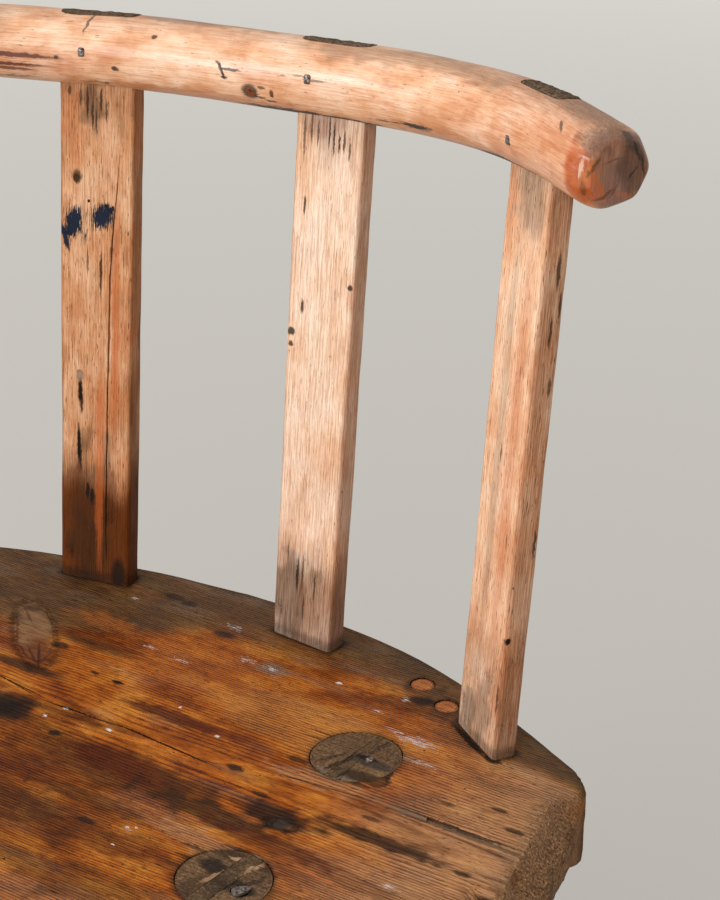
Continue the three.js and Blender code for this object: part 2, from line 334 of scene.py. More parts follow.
@dataclass(frozen=True)
class WoodFinish:
    """A wood surface: its tones, growth rings, fibres and flecks, and how it shines.

    Lengths are in mm. Tints darken what is under them, and every other colour is the colour seen.
    """

    name: str
    tones: tuple[str, str, str]
    blotch: float
    ring_tint: str
    ring_strength: float
    ring_relief: float
    fibre_tint: str
    fibre: tuple[float, float]
    fibre_strength: float
    fleck: tuple[float, float]
    fleck_share: float
    fleck_colour: str
    fleck_strength: float
    roughness: tuple[float, float]
    relief: float = 0.12
    hair: float = 0.45
    hair_strength: float = 0.5
    speck: float = 11.0
    specular: float = 0.35
    coat: float = 0.0

    def make(self, marks: Sequence[Mark] = ()) -> bpy.types.Material:
        """Builds the material.

        Args:
            marks: small blots that only this material has.
        """
        material, add = new_material(self.name)
        grain = add("Attribute", attribute_name="grain", output="Vector")
        drawn_out = []
        for width, length, detail in ((*self.fibre, 4.0), (self.hair, self.hair * 14, 2.0),
                                      (self.blotch, self.blotch * 1.8, 5.0), (*self.fleck, 2.0)):
            space = add("VectorMath", {0: grain, 1: (width / length, 1, 1)}, operation="MULTIPLY")
            drawn_out.append(add("TexNoise", {"Vector": space, "Scale": 1 / (width * MM),
                                              "Detail": detail, "Roughness": 0.6}))
        fibre, hair, blotch, fleck = drawn_out
        fleck = add("MapRange", {"Value": fleck, "From Min": self.fleck_share,
                                 "From Max": self.fleck_share + 0.06})
        speck_space = add("VectorMath", {0: grain, 1: (0.6, 1, 1)}, operation="MULTIPLY")
        speck_reach = add("TexVoronoi", {"Vector": speck_space, "Scale": 1 / (self.speck * MM)},
                          output="Distance")
        speck_near = add("Math", {0: blotch, 1: 0.13, 2: -0.025}, operation="MULTIPLY_ADD")
        speck_side = add("Math", {0: speck_near, 1: speck_reach}, operation="SUBTRACT")
        speck = add("MapRange", {"Value": speck_side, "From Min": 0.0, "From Max": 0.03})

        phase = add("Attribute", attribute_name="rings", output="Fac")
        wobble = add("Math", {0: fibre, 1: 0.3, 2: phase}, operation="MULTIPLY_ADD")
        ring_place = add("Math", {0: wobble}, operation="FRACT")
        stops = ((0, 0.1), (0.08, 0.0), (0.5, 0.1), (0.76, 1.0), (0.9, 0.9), (1, 0.1))
        ring = add("ValToRGB", {"Fac": ring_place},
                   ramp=[(at, (grey, grey, grey, 1)) for at, grey in stops])

        low, middle, high = (linear(tone) for tone in self.tones)
        colour = add("ValToRGB", {"Fac": blotch}, ramp=((0.36, low), (0.5, middle), (0.64, high)))

        soak_and_sheen = add("Attribute", attribute_name="soak_and_sheen", output="Color")
        soak_alpha = add("Attribute", attribute_name="soak_and_sheen", output="Alpha")
        # What lies over the bare wood, the lowest first: how much of it, its colour and how it is laid
        layers = []
        patchy = add("MapRange", {"Value": fibre, "From Min": 0.3, "From Max": 0.7,
                                  "To Min": -0.3, "To Max": 0.3})
        thin = add("Math", {0: soak_alpha, 1: 0.5}, operation="PINGPONG")
        uneven = add("Math", {0: thin, 1: patchy, 2: soak_alpha}, operation="MULTIPLY_ADD", use_clamp=True)
        layers.append((uneven, soak_and_sheen, "MIX"))

        ring_even = add("MapRange", {"Value": blotch, "From Min": 0.35, "From Max": 0.62,
                                     "To Min": 1.1 * self.ring_strength,
                                     "To Max": 0.45 * self.ring_strength})
        open_grain = add("Attribute", attribute_name="open", output="Fac")
        closed = add("Math", {0: 1.0, 1: open_grain}, operation="SUBTRACT", use_clamp=True)
        ring_seen = add("Math", {0: ring, 1: closed}, operation="MULTIPLY")
        ring_share = add("Math", {0: ring_seen, 1: ring_even}, operation="MULTIPLY")
        layers.append((ring_share, linear(self.ring_tint), "MULTIPLY"))
        fibre_share = add("MapRange", {"Value": fibre, "From Min": 0.42, "From Max": 0.66,
                                       "To Max": self.fibre_strength})
        layers.append((fibre_share, linear(self.fibre_tint), "MULTIPLY"))
        hair_share = add("MapRange", {"Value": hair, "From Min": 0.52, "From Max": 0.72,
                                      "To Max": self.hair_strength})
        layers.append((hair_share, linear(self.fibre_tint), "MULTIPLY"))
        fleck_share = add("Math", {0: fleck, 1: self.fleck_strength}, operation="MULTIPLY")
        layers.append((fleck_share, linear(self.fleck_colour), "MIX"))
        layers.append((speck, linear(self.fleck_colour), "MIX"))

        body = add("TexCoord", output="Object")
        grit = add("TexNoise", {"Vector": body, "Scale": 1 / (1.3 * MM), "Detail": 5.0, "Roughness": 0.7})
        pits = add("MapRange", {"Value": grit, "From Min": 0.44, "From Max": 0.7})
        pit_share = add("Math", {0: pits, 1: open_grain}, operation="MULTIPLY")
        layers.append((pit_share, linear("#54433a"), "MULTIPLY"))

        height = add("Math", {0: ring_seen, 1: self.ring_relief}, operation="MULTIPLY")
        reliefs = [(fibre, self.relief), (fleck, -0.15), (speck, -0.4), (pit_share, -0.8)]

        dull = speck
        if marks:
            rag = add("TexNoise", {"Vector": grain, "Scale": 1 / (2.4 * MM), "Detail": 3.0}, output="Color")
            shift = add("VectorMath", {0: rag, 1: (0.5, 0.5, 0.5)}, operation="SUBTRACT")
            ragged = add("VectorMath", {0: shift, 1: (2.6 * MM, 1.6 * MM, 1.6 * MM), 2: grain},
                         operation="MULTIPLY_ADD")
            strokes = add("MapRange", {"Value": hair, "From Min": 0.3, "From Max": 0.7,
                                       "To Min": -0.5, "To Max": 0.5})
        for mark in marks:
            blot = mark.blot
            along, across = (length * MM for length in blot.size)
            spot = add("Mapping", {"Vector": ragged, "Location": mark.place, "Rotation": mark.turn,
                                   "Scale": (along, across, max(across, 6 * MM))}, vector_type="TEXTURE")
            reach = add("VectorMath", {0: spot}, operation="LENGTH", output="Value")
            if blot.crust:
                fade, level = (1.0, -1.0) if blot.strength > 0.8 else (0.5, 0.32 - 0.62 * blot.strength)
                worn = add("Math", {0: reach, 1: -fade, 2: strokes}, operation="MULTIPLY_ADD")
                share = add("MapRange", {"Value": worn, "From Min": level, "From Max": level + 0.06})
                dull = add("Math", {0: dull, 1: share}, operation="MAXIMUM")
            else:
                streaky = add("Math", {0: fibre, 1: 1.3, 2: reach}, operation="MULTIPLY_ADD")
                share = add("MapRange", {"Value": streaky, "From Min": 1.8, "From Max": 1.35,
                                         "To Max": blot.strength})
            layers.append((share, linear(blot.shade.value), "MIX"))
            if blot.dent:
                reliefs.append((share, -blot.dent))

        # Painted shade: near black on the walls of bores, mortises, cracks and holes
        painted_recess_shade = add("Attribute", attribute_name="painted_recess_shade", output="Fac")
        layers.append((painted_recess_shade, linear(SOOT.value), "MIX"))

        for share, over, blend in layers:
            colour = add("Mix", {"Factor_Float": share, "A_Color": colour, "B_Color": over},
                         output="Result_Color", data_type="RGBA", blend_type=blend)
        for part, rise in reliefs:
            height = add("Math", {0: part, 1: rise, 2: height}, operation="MULTIPLY_ADD")

        shine = add("MapRange", {"Value": blotch, "From Min": 0.3, "From Max": 0.7,
                                 "To Min": self.roughness[0], "To Max": self.roughness[1]})
        duller = add("Math", {0: dull, 1: open_grain}, operation="MAXIMUM")
        rough = add("Math", {0: duller, 1: 0.3, 2: shine}, operation="MULTIPLY_ADD", use_clamp=True)
        normal = add("Bump", {"Height": height, "Distance": MM, "Strength": 1.0})
        shader = add("BsdfPrincipled", {"Base Color": colour, "Roughness": rough, "Normal": normal,
                                        "Specular IOR Level": self.specular,
                                        "Coat Weight": self.coat, "Coat Roughness": 0.2})
        add("OutputMaterial", {"Surface": shader})
        return material


@dataclass(frozen=True)
class IronFinish:
    """Hand-forged iron: worn grey where hands and cloth rub it, and brown rust in its hollows."""

    name: str = "Hand-forged iron, rusted"
    worn: str = "#8d8683"
    rust: str = "#3a2318"
    grit: float = 1.2

    def make(self) -> bpy.types.Material:
        """Builds the material, or hands back the one that is there."""
        if self.name in bpy.data.materials:
            return bpy.data.materials[self.name]
        material, add = new_material(self.name)
        place = add("TexCoord", output="Object")
        patches = add("TexNoise", {"Vector": place, "Scale": 1 / (self.grit * MM), "Detail": 5.0})
        share = add("MapRange", {"Value": patches, "From Min": 0.45, "From Max": 0.6})
        colour = add("Mix", {"Factor_Float": share, "A_Color": linear(self.worn),
                             "B_Color": linear(self.rust)}, output="Result_Color", data_type="RGBA")
        metal = add("MapRange", {"Value": share, "To Min": 0.9, "To Max": 0.1})
        rough = add("MapRange", {"Value": share, "To Min": 0.38, "To Max": 0.85})
        normal = add("Bump", {"Height": patches, "Distance": 0.4 * MM, "Strength": 1.0})
        shader = add("BsdfPrincipled", {"Base Color": colour, "Metallic": metal, "Roughness": rough,
                                        "Normal": normal})
        add("OutputMaterial", {"Surface": shader})
        return material


# Pine plank under old wax: soft early wood worn hollow between fine hard dark ridges, rubbed to a sheen.
SEAT_PINE = WoodFinish(
    name="Old pine plank, waxed and worn", tones=("#8a430c", "#b5641a", "#cd8432"), blotch=20,
    ring_tint="#7a5636", ring_strength=0.8, ring_relief=0.22,
    fibre_tint="#94704a", fibre=(0.7, 16), fibre_strength=0.65,
    fleck=(1.0, 5), fleck_share=0.64, fleck_colour="#1f1209", fleck_strength=0.8,
    roughness=(0.42, 0.6), relief=0.3, hair_strength=0.7, speck=9, specular=0.08,
)
# Shaved birch slats, dry and pale: fine straight grain, short dark pores, dirt on the side faces.
SLAT_BIRCH = WoodFinish(
    name="Shaved birch, dry", tones=("#eac3a2", "#f3d6bc", "#f8e2cd"), blotch=22,
    ring_tint="#d9b79c", ring_strength=0.3, ring_relief=0.03,
    fibre_tint="#c08f6c", fibre=(0.6, 18), fibre_strength=0.6,
    fleck=(0.7, 7), fleck_share=0.655, fleck_colour="#55301a", fleck_strength=0.75,
    roughness=(0.5, 0.65), relief=0.2, hair=0.4, hair_strength=0.55, speck=14, specular=0.1,
)
# A peeled birch branch, handled smooth: honey wood with cloudy patches and a soft polish.
RAIL_BIRCH = WoodFinish(
    name="Peeled birch branch, polished by hands", tones=("#d99f74", "#e9b994", "#f1cdb0"), blotch=15,
    ring_tint="#e0c4ac", ring_strength=0.25, ring_relief=0.01,
    fibre_tint="#c9966a", fibre=(0.8, 17), fibre_strength=0.45,
    fleck=(0.8, 5), fleck_share=0.68, fleck_colour="#5f3517", fleck_strength=0.7,
    roughness=(0.3, 0.46), relief=0.04, hair_strength=0.35, speck=13, specular=0.45, coat=0.12,
)
# Riven legs, shaved with a knife and long unwaxed: brown, dusty and dull.
LEG_WOOD = WoodFinish(
    name="Riven birch leg, grimy", tones=("#75573b", "#94704b", "#ae8a5e"), blotch=24,
    ring_tint="#a8968a", ring_strength=0.4, ring_relief=0.1,
    fibre_tint="#8c7460", fibre=(0.7, 18), fibre_strength=0.75,
    fleck=(0.9, 8), fleck_share=0.64, fleck_colour="#2e2016", fleck_strength=0.75,
    roughness=(0.55, 0.75), relief=0.25, specular=0.25,
)
# Split wedges in end grain, a little paler than the tenon that they spread.
WEDGE_WOOD = WoodFinish(
    name="Split wedge, end grain", tones=("#5f4c33", "#77603f", "#8d7450"), blotch=8,
    ring_tint="#9c8a78", ring_strength=0.4, ring_relief=0.08,
    fibre_tint="#7d6a58", fibre=(0.7, 8), fibre_strength=0.7,
    fleck=(0.8, 4), fleck_share=0.62, fleck_colour="#2a2016", fleck_strength=0.7,
    roughness=(0.55, 0.75), relief=0.2, specular=0.25,
)
# Pine plugs, cut along the grain and stained orange like the heart of the seat.
PLUG_PINE = WoodFinish(
    name="Pine plug, stained", tones=("#94501c", "#b86a2a", "#cc8038"), blotch=6,
    ring_tint="#94807a", ring_strength=0.5, ring_relief=0.1,
    fibre_tint="#8a7460", fibre=(0.7, 9), fibre_strength=0.6,
    fleck=(0.9, 4), fleck_share=0.68, fleck_colour="#2c1a10", fleck_strength=0.7,
    roughness=(0.45, 0.6), relief=0.15, specular=0.25,
)
NAIL_IRON = IronFinish()


class Workpiece:
    """One mesh, modelled from a primitive with edit operators and then shaped point by point."""

    def __init__(self, name: str) -> None:
        """Takes over the primitive that was just added."""
        self.obj = bpy.context.object
        self.obj.name = name

    @classmethod
    def block(cls, name: str, steps: Sequence[Sequence[int]]) -> "Workpiece":
        """A block from -1 to 1, cut into even steps along X, Y and Z.

        Args:
            name: the piece's name.
            steps: for each axis the numbers of steps, one cut round after another.
        """
        bpy.ops.mesh.primitive_cube_add(size=2)
        piece = cls(name)
        for axis in (0, 2, 1):
            piece._divide(axis, steps[axis])
        return piece

    @classmethod
    def rod(cls, name: str, sides: int, steps: Sequence[int], rings: int) -> "Workpiece":
        """A round bar from -1 to 1 along Z with radius 1, whose ends have rings of faces.

        Args:
            name: the piece's name.
            sides: how many sides it has.
            steps: numbers of steps along it, one cut round after another.
            rings: how many rings each end has.
        """
        bpy.ops.mesh.primitive_cylinder_add(vertices=sides, radius=1, depth=2, end_fill_type="NGON")
        piece = cls(name)
        piece._divide(2, steps)
        with piece.edited("FACE", lambda face: abs(face.normal.z) > 0.9):
            for _ in range(rings - 1):
                bpy.ops.mesh.inset(thickness=1 / rings)
            bpy.ops.mesh.poke()
        return piece

    def select(self) -> None:
        """Makes the piece the only one that is selected, and the active one."""
        bpy.ops.object.select_all(action="DESELECT")
        bpy.context.view_layer.objects.active = self.obj
        self.obj.select_set(True)

    @contextmanager
    def edited(self, kind: str, wanted: Callable[[object], bool]) -> Iterator[None]:
        """Opens the mesh in edit mode with some of it selected.

        Args:
            kind: VERT, EDGE or FACE.
            wanted: whether a point, edge or face is selected.
        """
        self.select()
        bpy.ops.object.mode_set(mode="EDIT")
        bpy.ops.mesh.select_mode(type=kind)
        bpy.ops.mesh.select_all(action="DESELECT")
        mesh = bmesh.from_edit_mesh(self.obj.data)
        for part in {"VERT": mesh.verts, "EDGE": mesh.edges, "FACE": mesh.faces}[kind]:
            part.select_set(wanted(part))
        if kind == "VERT":
            mesh.select_flush_mode()
        bmesh.update_edit_mesh(self.obj.data)
        yield
        bpy.ops.object.mode_set(mode="OBJECT")

    def _divide(self, axis: int, steps: Sequence[int]) -> None:
        """Cuts every edge that runs along an axis into even steps."""

        def runs_along(edge: bmesh.types.BMEdge) -> bool:
            """Whether an edge runs along the axis."""
            run = edge.verts[1].co - edge.verts[0].co
            return abs(run[axis]) > 0.999 * run.length

        for number in steps:
            if number > 1:
                with self.edited("EDGE", runs_along):
                    bpy.ops.mesh.subdivide(number_cuts=number - 1)

    def points(self) -> Array:
        """Where the mesh's points are, in mm."""
        flat = np.empty(3 * len(self.obj.data.vertices), np.float32)
        self.obj.data.vertices.foreach_get("co", flat)
        return flat.reshape(-1, 3).astype(float) / MM

    def normals(self) -> Array:
        """Which way the surface faces at each point."""
        flat = np.empty(3 * len(self.obj.data.vertices), np.float32)
        self.obj.data.vertex_normals.foreach_get("vector", flat)
        return flat.reshape(-1, 3).astype(float)

    def move_to(self, points: Array) -> None:
        """Puts the mesh's points at places in mm."""
        self.obj.data.vertices.foreach_set("co", (points * MM).astype(np.float32).ravel())
        self.obj.data.update()

    def shape(self, form: Field) -> "Workpiece":
        """Turns the primitive into the real shape.

        Args:
            form: gives the place in mm of each point of the primitive.
        """
        self.move_to(form(self.points() * MM))
        with self.edited("FACE", lambda face: True):
            bpy.ops.mesh.normals_make_consistent(inside=False)
        return self

    def soften(self, chosen: Array, times: int) -> None:
        """Rounds off the part of the mesh whose points are chosen."""
        with self.edited("VERT", lambda vertex: bool(chosen[vertex.index])):
            bpy.ops.mesh.vertices_smooth(factor=0.5, repeat=times)

    def raise_by(self, height: Array) -> None:
        """Moves each point out along its own normal, in mm."""
        self.move_to(self.points() + self.normals() * height[:, None])

    def cut(self, tools: "Sequence[Workpiece]", operation: str = "DIFFERENCE") -> "Workpiece":
        """Cuts the piece with other pieces, which are used up.

        Args:
            tools: closed pieces that don't touch each other.
            operation: what the Boolean keeps.
        """
        cutter = tools[0].obj
        tools[0].select()
        for tool in tools[1:]:
            tool.obj.select_set(True)
        if len(tools) > 1:
            bpy.ops.object.join()
        modifier = self.obj.modifiers.new("cut", "BOOLEAN")
        modifier.object = cutter
        modifier.operation = operation
        modifier.solver = "MANIFOLD"
        self.select()
        bpy.ops.object.modifier_apply(modifier=modifier.name)
        bpy.data.objects.remove(cutter)
        return self

    def record(self, name: str, values: Array) -> None:
        """Stores one number, vector or colour for each point, for the material to read."""
        width = 1 if values.ndim == 1 else values.shape[1]
        kind, key = {1: ("FLOAT", "value"), 3: ("FLOAT_VECTOR", "vector"),
                     4: ("FLOAT_COLOR", "color")}[width]
        layer = self.obj.data.attributes.new(name, kind, "POINT")
        layer.data.foreach_set(key, values.astype(np.float32).ravel())

    def coat(self, points: Array, grain: Array, blots: Iterable[Blot],
             washes: Sequence[tuple[Shade, Array]] = ()) -> None:
        """Lays washes and then the wide blots over the bare wood, the first ones lowest.

        Args:
            points: where the mesh's points are.
            grain: the direction of the grain.
            blots: the piece's stains.
            washes: shades with how much of each every point has.
        """
        parts = [(shade, np.clip(share, 0, 1)) for shade, share in washes]
        parts += [(blot.shade, blot.strength * blot.cover(points, grain))
                  for blot in blots if blot.shade and not blot.fine]
        layer = np.zeros((len(points), 4))
        for shade, share in parts:
            under = layer[:, 3] * (1 - share)
            total = share + under
            colour = np.array(linear(shade.value)[:3])
            mixed = share[:, None] * colour + under[:, None] * layer[:, :3]
            layer[:, :3] = mixed / np.maximum(total, 1e-6)[:, None]
            layer[:, 3] = total
        self.record("soak_and_sheen", layer)

    def finish(self, node: str, slot: str, material: bpy.types.Material) -> None:
        """Dresses the piece and puts it in the place of its CAD node."""
        self.select()
        bpy.ops.object.shade_smooth_by_angle(angle=math.radians(CREASE_DEGREES))
        self.obj.data.materials.clear()
        self.obj.data.materials.append(material)
        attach(self.obj, "root")
        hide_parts(node)
        LOG.info("%s: %d faces", self.obj.name, len(self.obj.data.polygons))


def dents(points: Array, grain: Array, blots: Iterable[Blot]) -> Array:
    """How far the blots' dents push each point in, in mm, as a negative height."""
    wide = [blot for blot in blots if blot.dent and (not blot.fine or not blot.shade)]
    return -sum((blot.dent * blot.cover(points, grain) for blot in wide), np.zeros(len(points)))


def node_points(node: str) -> Array:
    """The points of a CAD node, in mm."""
    return np.array([vertex.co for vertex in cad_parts[node].data.vertices]) / MM


def section(node: str, place: Array, normal: Array) -> Array:
    """Where a plane cuts the edges of a CAD node.

    Args:
        node: the node's name.
        place: a point on the plane, in mm.
        normal: the plane's direction.

    Returns:
        One point in mm for each edge that the plane cuts.
    """
    points = node_points(node)
    ends = np.array([edge.vertices[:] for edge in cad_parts[node].data.edges])
    side = (points - place) @ normal
    first, second = side[ends[:, 0]], side[ends[:, 1]]
    hit = (first < 0) != (second < 0)
    share = (first[hit] / (first[hit] - second[hit]))[:, None]
    return points[ends[hit, 0]] * (1 - share) + points[ends[hit, 1]] * share


@dataclass(frozen=True)
class Knot:
    """A knot in the seat: where a branch ran through, and how far it pushes the rings aside."""

    at: tuple[float, float]
    size: tuple[float, float]
    turn: float
    swell: float

    def reach(self, points: Array) -> Array:
        """How far each point is from the knot's middle, where 1 is its edge."""
        angle = math.radians(self.turn)
        away = points[:, :2] - self.at
        along = away @ (math.cos(angle), math.sin(angle))
        across = away @ (-math.sin(angle), math.cos(angle))
        return np.hypot(along / self.size[0], across / self.size[1])


@dataclass(frozen=True)
class Crack:
    """A drying crack: its route over the surface, its width at the middle and its depth."""

    route: tuple[tuple[float, float, float], ...]
    width: float
    depth: float
    flat: bool = False

    def tool(self, into: Array) -> Workpiece:
        """A blade of the crack's shape.

        Args:
            into: the direction that runs into the wood.
        """
        route = np.array(self.route, float)
        lengths = mileage(route)

        def form(raw: Array) -> Array:
            """Lays the block along the route, thin at its ends."""
            share = (raw[:, 0] + 1) / 2
            middle = look_up(share * lengths[-1], lengths, route)
            course = unit(route[-1] - route[0])
            across = np.cross(into, course)
            taper = np.sqrt(np.clip(1 - np.abs(2 * share - 1) ** 3, 0.02, 1))
            depth = self.depth * taper * np.where(raw[:, 2] < 0, 1, -0.35)
            narrow = np.where(raw[:, 2] < 0, 0.75 if self.flat else 0.2, 1.3)
            width = self.width / 2 * taper * narrow * (1 + 0.4 * noise(middle, (9, 9, 9), 71))
            shift = 0.25 * noise(middle, (9, 9, 9), 72)
            return middle + across * (raw[:, 1] * width + shift)[:, None] + into * depth[:, None]

        return Workpiece.block("crack_tool", ((60,), (2,), (2,))).shape(form)


class RailLine:
    """The middle line of the bent rail, found by slicing the CAD rail across its own direction."""

    STEP = 5.0

    def __init__(self) -> None:
        """Slices the rail from its middle out to both ends."""
        low, high = measures("crest_rail")
        self.vertices = node_points("crest_rail")
        start = np.array(((low[0] + high[0]) / 2, high[1], (low[2] + high[2]) / 2))
        middle, self.diameter = self._slice(start, X_AXIS, 60.0)
        left = self._march(middle, -X_AXIS)
        right = self._march(middle, X_AXIS)
        rough = np.array(left[::-1] + [middle] + right)
        rough[1:-1] = (rough[:-2] + rough[1:-1] + rough[2:]) / 3
        steps = mileage(rough)
        self.length = steps[-1]
        self.stations = np.linspace(0, self.length, 500)
        self.places = look_up(self.stations, steps, rough)
        kernel = np.ones(21) / 21
        tangents = np.gradient(self.places, axis=0)
        padded = np.pad(tangents, ((10, 10), (0, 0)), mode="edge")
        tangents = np.stack([np.convolve(padded[:, axis], kernel, "valid") for axis in range(3)], axis=1)
        self.tangents = tangents / np.linalg.norm(tangents, axis=1)[:, None]
        fronts = np.cross(self.tangents, Z_AXIS)
        self.fronts = fronts / np.linalg.norm(fronts, axis=1)[:, None]
        self.ups = np.cross(self.fronts, self.tangents)

    def _slice(self, place: Array, heading: Array, near: float) -> tuple[Array, float]:
        """The middle and the width of the rail where a plane cuts it."""
        cuts = section("crest_rail", place, heading)
        across = unit(np.cross(heading, Z_AXIS))
        over = np.cross(across, heading)
        cuts = cuts[np.linalg.norm(cuts - place, axis=1) < near]
        spans = [((cuts - place) @ way) for way in (across, over)]
        centre = place + sum(way * (span.min() + span.max()) / 2
                             for way, span in zip((across, over), spans))
        return centre, max(float(np.ptp(span)) for span in spans)

    def _march(self, start: Array, heading: Array) -> list[Array]:
        """Follows the rail from its middle to one end."""
        found = [start]
        while True:
            centre, width = self._slice(found[-1] + self.STEP * heading, heading, 40.0)
            if width < 0.96 * self.diameter:
                reach = (self.vertices - found[-1]) @ heading
                near = np.linalg.norm(self.vertices - found[-1], axis=1) < 60
                return found[1:] + [found[-1] + heading * reach[near].max()]
            heading = unit(centre - found[-1])
            found.append(centre)

    def at(self, run: Array) -> tuple[Array, ...]:
        """Place, tangent, front and up of the rail at distances along it."""
        return tuple(look_up(run, self.stations, table)
                     for table in (self.places, self.tangents, self.fronts, self.ups))

    def local(self, points: Array) -> Array:
        """How far each point is along the rail, and to the front of and above its middle."""
        near, _ = nearest(points, self.places)
        away = points - self.places[near]
        run = self.stations[near] + (away * self.tangents[near]).sum(axis=1)
        return np.column_stack((run, (away * self.fronts[near]).sum(axis=1),
                                (away * self.ups[near]).sum(axis=1)))


@dataclass
class CrestRail:
    """The bent branch that the slats are let into, with its ends cut to facets by a knife."""

    line: RailLine
    sides: int = 120
    facets: int = 7
    facet_length: float = 11.0
    facet_depth: float = 6.0

    def in_grain(self, places: Array) -> Array:
        """Turns places in mm into the space of the grain, which stands on end at the cut ends."""
        local = self.line.local(places)
        ends = np.minimum(local[:, 0], self.line.length - local[:, 0])
        turned = np.column_stack((local[:, 2] + 1.5 * noise(places, (8, 8, 8), 19),
                                  local[:, 1], local[:, 0]))
        return np.where((ends < 6)[:, None], turned, local)

    @staticmethod
    def facing(place: Array) -> Array:
        """Which way the wood faces at a place in the space of the grain."""
        return Z_AXIS if place[2] > 100 else unit(np.array((0.0, place[1], place[2])))

    def radius(self, run: Array, angle: Array) -> Array:
        """The branch's radius: nearly round, with slow swellings and the flats that a knife leaves."""
        ring = ringed(angle, 22, run)[:, (2, 0, 1)]
        swelling = 0.35 * noise(ring, (70, 60, 60), 5) + 0.25 * noise(ring, (30, 14, 14), 6)
        flats = 0.12 * noise(ring, (16, 6, 6), 7)
        return self.line.diameter / 2 + swelling + flats - 0.15

    def build(self, name: str) -> Workpiece:
        """The branch before its mortises and nail holes are cut."""
        line = self.line

        def form(raw: Array) -> Array:
            """Bends the rod along the line and swells it."""
            run = (raw[:, 2] + 1) / 2 * line.length
            angle, rho = polar(raw)
            angle = angle - 0.35 * np.sin(angle)
            share = np.clip(rho, 0, 1)
            place, _, front, over = line.at(run)
            out = front * np.cos(angle)[:, None] + over * np.sin(angle)[:, None]
            return place + out * (share * self.radius(run, angle))[:, None]

        rail = Workpiece.rod(name, self.sides, (20, 19), 16).shape(form)
        points = rail.points()
        for end, sign in ((0, -1), (-1, 1)):
            outward = line.tangents[end] * sign
            place = line.places[end]
            for facet in range(self.facets):
                turn = Matrix.Rotation(2 * math.pi * facet / self.facets, 3, Vector(outward))
                side = np.array(turn @ Vector(unit(np.cross(outward, Z_AXIS))))
                facing = unit(side * self.facet_length + outward * self.facet_depth)
                flat = place + side * (line.diameter / 2 - self.facet_depth)
                over = (points - flat) @ facing
                over = over + 0.35 * noise(points, (3, 5, 3), 20 + facet)
                near = np.linalg.norm(points - place, axis=1) < 45
                points -= facing * np.where(near & (over > 0), over, 0)[:, None]
        rail.move_to(points)
        near = np.min([np.linalg.norm(points - end, axis=1) for end in line.places[[0, -1]]], axis=0) < 34
        rail.soften(near, 16)
        return rail

    def dress(self, rail: Workpiece) -> None:
        """Marks the wood and dresses it."""
        points = rail.points()
        local = self.line.local(points)
        grain = self.line.at(local[:, 0])[1]
        rail.raise_by(dents(points, grain, RAIL_BLOTS)
                      + 0.1 * noise(local, (24, 2.2, 2.2), 8))
        points = rail.points()
        local = self.line.local(points)
        depth = self.line.diameter / 2 - np.hypot(local[:, 1], local[:, 2])
        top = smoothstep(local[:, 2] / 20 + 0.15 * noise(local, (24, 7, 7), 9), 0.62, 0.98)
        top = top * (0.35 + 0.65 * smoothstep(local[:, 0], 380, 520))
        low = smoothstep(-local[:, 2] / 20, 0.5, 0.95)
        ends = np.minimum(local[:, 0], self.line.length - local[:, 0])
        end = smoothstep(-ends, -9, -3)
        rail.record("grain", self.in_grain(points) * MM)
        rail.record("rings", np.hypot(local[:, 1] + 3, local[:, 2] - 2) / 2.2
                    + 1.4 * noise(local, (60, 16, 16), 10))
        # Painted shade inside the mortises and nail holes
        inside = (ends > 14) & (depth > 1.6)
        rail.record("painted_recess_shade", np.where(inside, smoothstep(depth, 1.6, 3.2), 0))
        rail.record("open", 0.35 * top)
        rail.coat(points, grain, RAIL_BLOTS, (
            (WEATHER, 0.6 * top), (HONEY, 0.5 * low), (AMBER, 0.3 * low),
            (TAN, 0.5 * smoothstep(-local[:, 0], -170, -90)),
            (RUST, 0.1 * smoothstep(points[:, 0], 127, 129)
             + 0.14 * smoothstep(points[:, 0], 168, 171)),
            (MAUVE, 0.5 * end), (RUSSET, 0.5 * end),
            (UMBER, 0.8 * end * smoothstep(noise(points, (9, 9, 5), 66), 0.1, 0.7))))
        marks = Mark.all_of(RAIL_BLOTS, self.in_grain, self.facing)
        rail.finish("crest_rail", "back_birch", RAIL_BIRCH.make(marks))


@dataclass(frozen=True)
class SlatLook:
    """How one slat differs: its tones, its share of flecks, its grime, its foot's stain and its blots.

    The stain is given as how high it rises, in mm, and how strong it is.
    """

    tones: tuple[str, str, str]
    flecks: float
    grime: float
    stain: tuple[float, float]
    blots: tuple[Blot, ...]


